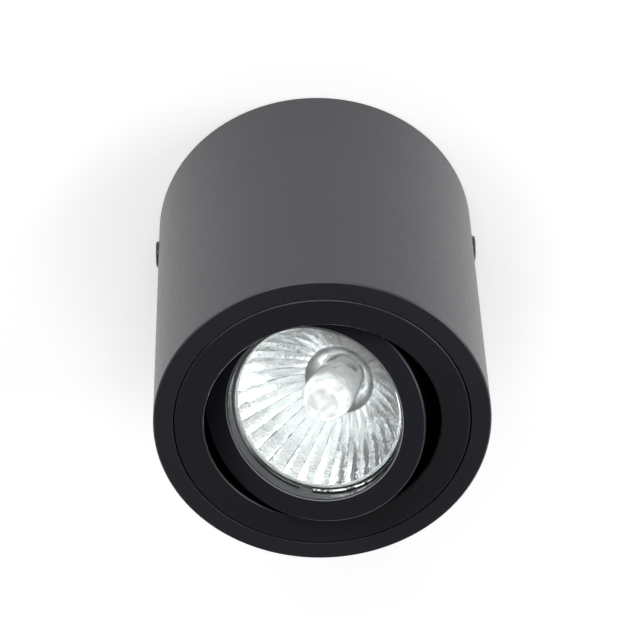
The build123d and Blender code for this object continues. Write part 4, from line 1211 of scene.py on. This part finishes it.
# ---------------------------------------------------------------- trim insert
@dataclass
class TrimInsert(SubAssembly):
    """The swivelling trim ring with its springs, pivots and lead tie."""

    body: Body = Body.INSERT
    finishes: dict[str, Finish] = field(default_factory=lambda: {
        "trim_ring": Finishes.trim_coat,
        "leaf_springs": Finishes.spring_steel,
        "spring_screws": Finishes.zinc_screw,
        "pivot_screws": Finishes.zinc_screw,
        "friction_washers": Finishes.nylon,
        "lead_tie": Finishes.nylon,
    })


# ---------------------------------------------------------------- lamp
class LampSurface(Enum):
    """The surfaces of the reflector, numbered as its materials are."""

    MIRROR = 0
    THROAT = 1
    BACK = 2
    RIM = 3
    SEAL = 4


@dataclass
class Reflector:
    """The fluted mirror of the lamp, as a closed glass body."""

    flutes: int = 32
    corners_per_flute: int = 12
    rim_radius: float = 25.0
    rim_edge: float = 0.25
    rim_top: float = 7.1
    rim_thickness: float = 1.65
    rim_step: float = 1.3
    rim_rings: int = 7
    mouth_radius: float = 24.2
    mouth_lap: float = 0.2
    throat_radius: float = 10.4
    throat_shares: tuple[float, ...] = (0.12, 0.4, 0.7, 0.93)
    neck_radius: float = 6.0
    neck_length: float = 6.0
    neck_turn: tuple[float, float] = (0.3, 0.4)
    wall: float = 2.4
    fluted_depth: float = 21.4
    crown: float = 0.0115
    stations: int = 34
    back_stations: int = 24

    def rate(self) -> float:
        """Return the bowl's opening rate, in square millimetres per millimetre."""
        return (self.mouth_radius ** 2 - self.throat_radius ** 2) / self.fluted_depth

    def bowl_end(self) -> float:
        """Return the depth at which the bowl meets the neck."""
        rest = (self.throat_radius ** 2 - self.neck_radius ** 2) / self.rate()
        return self.rim_top + self.fluted_depth + rest

    def bowl_radius(self, depth: float) -> float:
        """Return the mirror's radius at a depth, down to the neck."""
        square = self.mouth_radius ** 2 - self.rate() * (depth - self.rim_top)
        return math.sqrt(max(square, self.neck_radius ** 2))

    def inside(self) -> list[Point]:
        """Lay out the mirror from its mouth to the neck's end.

        Returns:
            Radius, depth and share of fluting at each corner of the outline.
        """
        outline = []
        for index in range(self.stations + 1):
            part = math.sin(math.pi / 2 * index / self.stations)
            depth = self.rim_top + self.fluted_depth * part
            fluting = min(1.0, (self.stations - index) / 2.0)
            outline.append((self.bowl_radius(depth), depth, fluting))
        throat, end = self.rim_top + self.fluted_depth, self.bowl_end()
        for share in self.throat_shares:
            depth = throat + share * (end - throat)
            outline.append((self.bowl_radius(depth), depth, 0.0))
        outline.append((self.neck_radius, end + self.neck_turn[0], 0.0))
        outline.append((self.neck_radius, end + self.neck_length, 0.0))
        return outline

    def outside(self) -> list[Point]:
        """Lay out the back from the neck's end to the rim's front edge.

        Returns:
            Radius, depth and share of fluting at each corner of the outline.
        """
        neck, end = self.neck_radius + self.wall, self.bowl_end()
        start, rim_back = self.rim_radius - self.rim_step, self.rim_top + self.rim_thickness
        outline = [(neck, end + self.neck_length), (neck, end + self.neck_turn[1])]
        rate = (start ** 2 - neck ** 2) / (end - rim_back)
        for index in range(self.back_stations, 0, -1):
            part = math.sin(math.pi / 2 * index / self.back_stations)
            depth = rim_back + (end - rim_back) * part
            outline.append((math.sqrt(start ** 2 - rate * (depth - rim_back)), depth))
        outline += [
            (start, rim_back),
            (self.rim_radius - self.rim_edge, rim_back),
            (self.rim_radius, rim_back - self.rim_edge),
            (self.rim_radius, self.rim_top + self.rim_edge),
            (self.rim_radius - self.rim_edge, self.rim_top),
            (self.mouth_radius + self.mouth_lap, self.rim_top),
        ]
        return [(radius, depth, 0.0) for radius, depth in outline]

    def build(self, place: Matrix) -> bpy.types.Object:
        """Make the reflector.

        Args:
            place: The lamp's frame.

        Returns:
            The closed body, with the mirror, its back and its rim as materials.
        """
        inside = self.inside()
        outline = inside + self.outside()
        sides = self.flutes * self.corners_per_flute
        points = []
        for radius, depth, share in outline:
            for side in range(sides):
                across = 2.0 * (side % self.corners_per_flute) / self.corners_per_flute - 1.0
                crown = share * self.crown * (1.0 - across * across)
                points.append(polar(radius * (1.0 - crown), TURN * side / sides, depth) * MM)
        faces = ring_faces(len(outline), sides, closed=True)
        piece = made_object("fluted_mirror", points, faces, place)
        for finish in (Finishes.mirror, Finishes.throat_mirror, Finishes.mirror_back,
                       Finishes.rim_glass, Finishes.rim_seal):
            piece.data.materials.append(finish.material())
        chart = piece.data.uv_layers.new(name="UVMap")
        for index, face in enumerate(piece.data.polygons):
            ring, side = divmod(index, sides)
            face.material_index = self.surface(ring, len(inside), len(outline)).value
            for loop in face.loop_indices:
                station, corner = divmod(piece.data.loops[loop].vertex_index, sides)
                if corner == 0 and side == sides - 1:
                    corner = sides
                chart.data[loop].uv = (corner / self.corners_per_flute,
                                       outline[station][1] / self.rim_radius)
        sharpened(piece, 28)
        return piece

    def surface(self, ring: int, inside: int, rings: int) -> LampSurface:
        """Tell which surface a ring of faces belongs to.

        Args:
            ring: Number of the ring along the outline.
            inside: Number of corners on the inner outline.
            rings: Number of corners on the whole outline.

        Returns:
            The surface.
        """
        if ring < self.stations:
            return LampSurface.MIRROR
        if ring < inside - 1:
            return LampSurface.THROAT
        if ring == rings - 1:
            return LampSurface.SEAL
        return LampSurface.RIM if ring >= rings - self.rim_rings else LampSurface.BACK


@dataclass
class FrontGlass:
    """The lamp's front glass, with a ground bevel."""

    radius: float = 24.75
    face: float = 5.5
    back: float = 7.1
    bevel: float = 0.45
    sides: int = 192

    def build(self, place: Matrix) -> bpy.types.Object:
        """Make the disc with its ground bevel.

        Args:
            place: The lamp's frame.

        Returns:
            The disc.
        """
        less = self.radius - self.bevel
        outline = [(less * 0.5, self.face), (less, self.face),
                   (self.radius, self.face + self.bevel),
                   (self.radius, self.back), (less * 0.5, self.back)]
        points = [polar(radius, TURN * side / self.sides, depth) * MM
                  for radius, depth in outline for side in range(self.sides)]
        piece = made_object("front_glass", points, ring_faces(len(outline), self.sides), place)
        sharpened(piece, 25)
        return piece


@dataclass
class Burner:
    """The quartz capsule with its exhaust nib and flattened pinch."""

    radius: float = 7.2
    wall: float = 1.4
    tip: float = 7.9
    nib_radius: float = 1.1
    nib_height: float = 0.6
    nib_profile: tuple[tuple[float, float], ...] = (
        (0.12, 1.0), (0.5, 0.92), (0.8, 0.62), (0.95, 0.25))
    shoulder: float = 24.6
    pinch_start: float = 28.9
    pinch_middle: float = 31.9
    pinch_end: float = 40.9
    pinch_width: float = 7.0
    pinch_thickness: float = 2.4
    pinch_edge: float = 0.2
    round_power: float = 2.0
    boxy_power: float = 2.5
    hollow_end: float = 27.3
    hollow_slit: float = 0.25
    hollow_narrowing: float = 0.35
    hollow_shares: tuple[float, ...] = (0.25, 0.5, 0.72, 0.88)
    sides: int = 64
    dome_steps: int = 15
    tube_steps: int = 8
    flattening_steps: int = 9

    def section(self, half_x: float, half_y: float, depth: float, power: float) -> list[Vector]:
        """Lay out one ring of corners.

        Args:
            half_x: Half its width along X.
            half_y: Half its width along Y.
            depth: Its depth in the lamp.
            power: Its squareness, from the round power upwards.

        Returns:
            The corners.
        """
        ring = []
        for side in range(self.sides):
            angle = TURN * side / self.sides
            c, s = math.cos(angle), math.sin(angle)
            x = half_x * math.copysign(abs(c) ** (2 / power), c)
            y = half_y * math.copysign(abs(s) ** (2 / power), s)
            ring.append(Vector((x, y, depth)) * MM)
        return ring

    def disc(self, radius: float, depth: float) -> list[Vector]:
        """Return one round ring of corners."""
        return self.section(radius, radius, depth, self.round_power)

    def shell(self, radius: float, tip: float, with_nib: bool) -> list[list[Vector]]:
        """Lay out one skin, from its tip to the tube's shoulder.

        Args:
            radius: Radius of the tube and of its dome.
            tip: Depth of the dome's tip.
            with_nib: Whether the exhaust nib stands on the dome.

        Returns:
            The rings of corners.
        """
        rings, centre, first = [], tip + radius, 1
        if with_nib:
            first = 3
            for share, rise in self.nib_profile:
                rings.append(self.disc(self.nib_radius * share, tip - self.nib_height * rise))
        for index in range(first, self.dome_steps):
            angle = math.pi / 2 * index / self.dome_steps
            rings.append(self.disc(radius * math.sin(angle), centre - radius * math.cos(angle)))
        for index in range(self.tube_steps + 1):
            depth = centre + (self.shoulder - centre) * index / self.tube_steps
            rings.append(self.disc(radius, depth))
        return rings

    @staticmethod
    def eased(share: float) -> float:
        """Return a share from 0 to 1 that starts and ends gently."""
        return share * share * (3 - 2 * share)

    def outer(self) -> list[list[Vector]]:
        """Lay out the outer skin.

        Returns:
            The rings of corners, from the nib to the pinch's end.
        """
        rings = self.shell(self.radius, self.tip, with_nib=True)
        half_width, half_thickness = self.pinch_width / 2, self.pinch_thickness / 2
        for index in range(1, self.flattening_steps + 1):
            share = index / self.flattening_steps
            ease = self.eased(share)
            rings.append(self.section(self.radius + (half_width - self.radius) * ease,
                                      self.radius + (half_thickness - self.radius) * ease,
                                      self.shoulder + (self.pinch_start - self.shoulder) * share,
                                      self.round_power + self.boxy_power * ease))
        for less, depth in ((0.0, self.pinch_middle), (0.0, self.pinch_end - self.pinch_edge),
                            (self.pinch_edge, self.pinch_end)):
            rings.append(self.section(half_width - less, half_thickness - less, depth,
                                      self.round_power + self.boxy_power))
        return rings

    def inner(self) -> list[list[Vector]]:
        """Lay out the skin of the hollow.

        Returns:
            The rings of corners, from the dome to the slit over the pinch.
        """
        radius = self.radius - self.wall
        rings = self.shell(radius, self.tip + self.wall, with_nib=False)
        for share in self.hollow_shares:
            ease = self.eased(share)
            rings.append(self.section(radius * (1 - self.hollow_narrowing * ease),
                                      radius + (self.hollow_slit - radius) * ease,
                                      self.shoulder + (self.hollow_end - self.shoulder) * share,
                                      self.round_power + ease))
        return rings

    def build(self, place: Matrix) -> bpy.types.Object:
        """Make the burner as an outer skin with the hollow inside it.

        Args:
            place: The burner's frame.

        Returns:
            The burner.
        """
        outer, inner = self.outer(), self.inner()
        points = [place @ point for ring in outer + inner for point in ring]
        faces = ring_faces(len(outer), self.sides)
        first, outer_faces = len(outer) * self.sides, len(faces)
        for face in ring_faces(len(inner), self.sides):
            faces.append(tuple(reversed([first + corner for corner in face])))
        mesh = bpy.data.meshes.new("quartz_burner")
        mesh.from_pydata(points, [], faces)
        mesh.shade_smooth()
        self.face_outwards(mesh, outer_faces)
        return linked("quartz_burner", mesh)

    @staticmethod
    def face_outwards(mesh: bpy.types.Mesh, outer_faces: int) -> None:
        """Turn the outer skin outwards and the hollow's skin inwards.

        Args:
            mesh: The burner's mesh.
            outer_faces: How many of its faces, from the first, are on the outer skin.
        """
        solid = bmesh.new()
        solid.from_mesh(mesh)
        solid.faces.ensure_lookup_table()
        outer, inner = list(solid.faces)[:outer_faces], list(solid.faces)[outer_faces:]
        bmesh.ops.recalc_face_normals(solid, faces=outer)
        bmesh.ops.recalc_face_normals(solid, faces=inner)
        bmesh.ops.reverse_faces(solid, faces=inner)
        solid.to_mesh(mesh)
        solid.free()


@dataclass
class Filament:
    """The coiled tungsten wire across the burner, with its two legs."""

    depth: float = 16.9
    half_length: float = 2.9
    coil_radius: float = 0.62
    wire_radius: float = 0.1
    turns: int = 17
    points_per_turn: int = 14
    knee_out: float = 0.15
    knee_depth: float = 0.75
    leg_x: float = 1.7
    leg_end: float = 17.75
    sides: int = 8

    def leg(self, side: int) -> list[Vector]:
        """Lay out one leg.

        Args:
            side: The side of the coil that it is at, -1 or 1.

        Returns:
            Its end and its knee.
        """
        knee = side * (self.half_length + self.knee_out)
        return [Vector((side * self.leg_x, 0.0, self.leg_end)),
                Vector((knee, 0.0, self.depth + self.knee_depth))]

    def build(self, place: Matrix) -> bpy.types.Object:
        """Make the coil as one wire from leg to leg.

        Args:
            place: The burner's frame.

        Returns:
            The wire.
        """
        line = self.leg(-1)
        steps = self.turns * self.points_per_turn
        for index in range(steps + 1):
            angle = TURN * index / self.points_per_turn
            x = -self.half_length + 2 * self.half_length * index / steps
            line.append(Vector((x, self.coil_radius * math.sin(angle),
                                self.depth + self.coil_radius * math.cos(angle))))
        line += reversed(self.leg(1))
        return swept("filament_coil", [point * MM for point in line], self.wire_radius * MM,
                     self.sides, place)


@dataclass
class RetainingWire:
    """The open spring wire in front of the lamp's rim, which bows inwards at one side."""

    radius: float = 25.55
    bow: float = 0.3
    bow_middle: float = -45.0
    bow_reach: float = 55.0
    depth: float = 4.85
    thickness: float = 1.0
    gap: float = 9.0
    gap_middle: float = 330.0
    steps: int = 220
    sides: int = 20

    def build(self, place: Matrix) -> bpy.types.Object:
        """Make the wire from one side of its gap round to the other.

        Args:
            place: The carrier's frame.

        Returns:
            The wire.
        """
        line = []
        first = self.gap_middle + self.gap / 2
        for index in range(self.steps + 1):
            degrees = first + (360.0 - self.gap) * index / self.steps
            off = abs((degrees - self.bow_middle + 180.0) % 360.0 - 180.0) / self.bow_reach
            bowed = self.bow * (0.5 + 0.5 * math.cos(math.pi * off)) if off < 1.0 else 0.0
            line.append(polar(self.radius - bowed, math.radians(degrees), self.depth) * MM)
        return swept("lamp_wire", line, self.thickness / 2 * MM, self.sides, place)


@dataclass
class LampCarrier(SubAssembly):
    """The gimbal ring, the lamp in it and the lampholder behind the lamp."""

    body: Body = Body.CARRIER
    rest: Rest = field(default_factory=Rest)
    burner_root: float = 31.0 * MM
    burner_lean: float = 1.5
    burner_lean_axis: Point = (-0.574, 0.819, 0.0)
    finishes: dict[str, Finish] = field(default_factory=lambda: {
        "gimbal_ring": Finishes.ring_coat,
        "burner_wires": Finishes.nickel,
        "burner_cement": Finishes.cement,
        "lamp_base": Finishes.steatite,
        "lamp_pins": Finishes.nickel,
        "lampholder_body": Finishes.steatite,
        "lampholder_contacts": Finishes.nickel,
        "lampholder_cover": Finishes.cover_sheet,
        "lampholder_screws": Finishes.zinc_screw,
    })

    def build(self) -> None:
        """Make the retaining wire and the lamp's mirror, burner and filament."""
        wire = RetainingWire().build(self.rest.carrier())
        self.seat(wire, Finishes.wire_enamel, "black_wire", "retaining_wire")
        lamp = self.rest.lamp()
        self.seat(Reflector().build(lamp), None, "mirror_glass", "lamp_reflector")
        self.seat(FrontGlass().build(lamp), Finishes.lamp_glass, "clear_glass",
                  "lamp_front_glass")
        burner = lamp @ self.leaned()
        self.seat(Burner().build(burner), Finishes.quartz, "quartz", "lamp_burner")
        self.seat(Filament().build(burner), Finishes.tungsten, "tungsten", "lamp_filament")

    def leaned(self) -> Matrix:
        """Return how the burner leans in the cement of the lamp's neck.

        Returns:
            The burner's frame, told in the lamp's.
        """
        root = Matrix.Translation((0, 0, self.burner_root))
        axis = Vector(self.burner_lean_axis)
        return root @ Matrix.Rotation(math.radians(self.burner_lean), 4, axis) @ root.inverted()


# ---------------------------------------------------------------- studio
@dataclass(frozen=True)
class Softbox:
    """One soft lamp of the studio, aimed at a point of the light."""

    name: str
    direction: Point
    distance: float
    width: float
    height: float
    watts: float
    colour: Colour = (0.965, 0.97, 1.0)
    aim: Point = (0.0, 0.0, -0.06)

    def place(self) -> None:
        """Put the lamp into the scene."""
        lamp = bpy.data.lights.new(self.name, "AREA")
        lamp.shape = "RECTANGLE"
        lamp.size, lamp.size_y = self.width, self.height
        lamp.energy = self.watts
        lamp.color = self.colour
        holder = linked(self.name, lamp)
        holder.visible_transmission = False
        away = Vector(self.direction).normalized()
        holder.location = Vector(self.aim) + away * self.distance
        holder.rotation_mode = "QUATERNION"
        holder.rotation_quaternion = away.to_track_quat("Z", "Y")


@dataclass
class Studio:
    """The white ceiling, the pale surroundings and the soft lamps."""

    ceiling_rings: tuple[float, ...] = (47.2 * MM, 0.3, 3.0)
    ceiling_sides: int = 96
    ceiling_height: float = 0.1 * MM
    ceiling_colour: Colour = (0.82, 0.82, 0.82)
    # Painted shadow: the ceiling's glow goes from its near level round the housing to its far
    # level.
    painted_shadow_reach: tuple[float, float] = (0.055, 0.1)
    painted_shadow_glow: tuple[float, float] = (0.44, 0.55)
    dark_side: Point = (-0.28, 0.36, -0.87)
    dark_reach: tuple[float, float] = (0.42, 0.8)
    dark_level: float = 0.04
    camera_side: Point = (0.2, -0.58, -0.79)
    camera_reach: tuple[float, float] = (0.95, 0.975)
    glass_level: float = 4.7
    glass_dark: float = 0.15
    soft_level: float = 0.42
    soft_reach: tuple[float, float] = (0.55, 0.8)
    boxes: list[Softbox] = field(default_factory=lambda: [
        Softbox("right_softbox", (0.88, -0.3, -0.36), 1.1, 0.6, 0.9, 5.15),
        Softbox("front_softbox", (-0.1, -0.82, -0.55), 1.2, 1.0, 0.6, 5.2),
        Softbox("left_softbox", (-0.8, -0.55, -0.25), 1.3, 0.7, 0.9, 4.8),
    ])

    def build(self) -> None:
        """Build the ceiling, the surroundings and the lamps."""
        self.ceiling()
        self.surroundings()
        for box in self.boxes:
            box.place()
            LOG.info("%s placed", box.name)

    def ceiling(self) -> None:
        """Make the ceiling as a wide ring round the housing that shows from below."""
        points = [polar(radius, -TURN * side / self.ceiling_sides, self.ceiling_height)
                  for radius in self.ceiling_rings for side in range(self.ceiling_sides)]
        mesh = bpy.data.meshes.new("ceiling")
        mesh.from_pydata(points, [], ring_faces(len(self.ceiling_rings), self.ceiling_sides)[:-2])
        if mesh.polygons[0].normal.z > 0:
            mesh.flip_normals()
        mesh.materials.append(self.ceiling_material())
        linked("ceiling", mesh)

    def ceiling_material(self) -> bpy.types.Material:
        """Make the white ceiling, brightened only where it is looked at, and less so near the
        housing as a painted shadow.

        Returns:
            The material, which is clear from above.
        """
        graph = Graph("white_ceiling")
        graph.set(Base_Color=(*self.ceiling_colour, 1.0), Roughness=0.9, Specular_IOR_Level=0.1)
        glow = graph.add("ShaderNodeEmission")
        glow.inputs["Color"].default_value = (1.0, 1.0, 1.0, 1.0)
        # Painted shadow: the glow is lower near the housing.
        level = graph.span(graph.from_axis(graph.place), *self.painted_shadow_reach, *self.painted_shadow_glow)
        graph.feed(glow.inputs["Strength"], graph.times(self.seen_rays(graph), level))
        both = graph.add("ShaderNodeAddShader")
        graph.feed(both.inputs[0], graph.shader.outputs[0])
        graph.feed(both.inputs[1], glow.outputs[0])
        one_sided = graph.add("ShaderNodeMixShader")
        above = graph.add("ShaderNodeNewGeometry").outputs["Backfacing"]
        clear = graph.add("ShaderNodeBsdfTransparent").outputs[0]
        for socket, value in zip(one_sided.inputs, (above, both.outputs[0], clear)):
            graph.feed(socket, value)
        graph.feed(graph.output.inputs["Surface"], one_sided.outputs[0])
        return graph.material

    @staticmethod
    def seen_rays(graph: Graph) -> bpy.types.NodeSocket:
        """Tell the rays that look at the ceiling from those that only light it.

        Args:
            graph: The graph to build in.

        Returns:
            A socket that is 1 for rays from the camera, in gloss and through glass.
        """
        rays = graph.add("ShaderNodeLightPath").outputs
        gloss = graph.math("MAXIMUM", rays["Is Glossy Ray"], rays["Is Transmission Ray"])
        return graph.math("MAXIMUM", rays["Is Camera Ray"], gloss)

    def surroundings(self) -> None:
        """Make the world: soft light, white to the eye, dim below in gloss, bright in glass."""
        world = bpy.data.worlds.new("studio")
        bpy.context.scene.world = world
        graph = Nodes(world)
        way = graph.add("ShaderNodeTexCoord").outputs["Generated"]
        under = graph.span(self.towards(graph, way, self.dark_side), *self.dark_reach,
                           1.0, self.dark_level)
        behind = graph.span(self.towards(graph, way, self.camera_side), *self.camera_reach,
                            self.glass_level, self.glass_dark)
        soft = graph.span(graph.split(way)[2], *self.soft_reach, self.soft_level, 0.0)
        rays = graph.add("ShaderNodeLightPath").outputs
        strength = graph.choose(rays["Is Glossy Ray"], soft, under)
        strength = graph.choose(rays["Is Transmission Ray"], strength, behind)
        strength = graph.choose(rays["Is Camera Ray"], strength, 1.0)
        sky = graph.add("ShaderNodeBackground")
        graph.feed(sky.inputs["Strength"], strength)
        graph.feed(graph.add("ShaderNodeOutputWorld").inputs["Surface"], sky.outputs[0])
        bpy.context.scene.view_settings.view_transform = "Standard"

    @staticmethod
    def towards(graph: Nodes, way: bpy.types.NodeSocket, side: Point) -> bpy.types.NodeSocket:
        """Measure how far a ray's way points to a side of the studio.

        Args:
            graph: The graph to build in.
            way: The ray's way.
            side: Where the side lies.

        Returns:
            The socket of the cosine between them.
        """
        node = graph.add("ShaderNodeVectorMath", operation="DOT_PRODUCT")
        graph.feed(node.inputs[0], way)
        node.inputs[1].default_value = Vector(side).normalized()
        return node.outputs["Value"]


@dataclass(frozen=True)
class PhotographCamera:
    """The camera that took the photograph, fitted to the light's circles."""

    sensor: float = 36.0
    lens: float = 185.57
    clip: tuple[float, float] = (0.01, 20.0)
    location: Point = (-0.01370, -0.54113, -0.86469)
    right: Point = (0.99974, 0.00702, -0.02203)
    up: Point = (0.01802, -0.83331, 0.55252)
    back: Point = (-0.01448, -0.55277, -0.83321)

    def place(self) -> None:
        """Put the camera into the scene and make it the scene's camera."""
        data = bpy.data.cameras.new("photograph_camera")
        data.sensor_width, data.lens = self.sensor, self.lens
        data.clip_start, data.clip_end = self.clip
        camera = linked("photograph_camera", data)
        turn = Matrix((self.right, self.up, self.back)).transposed().to_4x4()
        camera.matrix_world = Matrix.Translation(self.location) @ turn
        bpy.context.scene.camera = camera


def main() -> None:
    """Build the light from its sub-assemblies, then the studio and the camera."""
    logging.basicConfig(level=logging.INFO, format="%(message)s")
    for group in (Housing(), TrimInsert(), LampCarrier()):
        group.dress()
        group.build()
    Wiring().build()
    Studio().build()
    PhotographCamera().place()


if __name__ == "__main__":
    main()
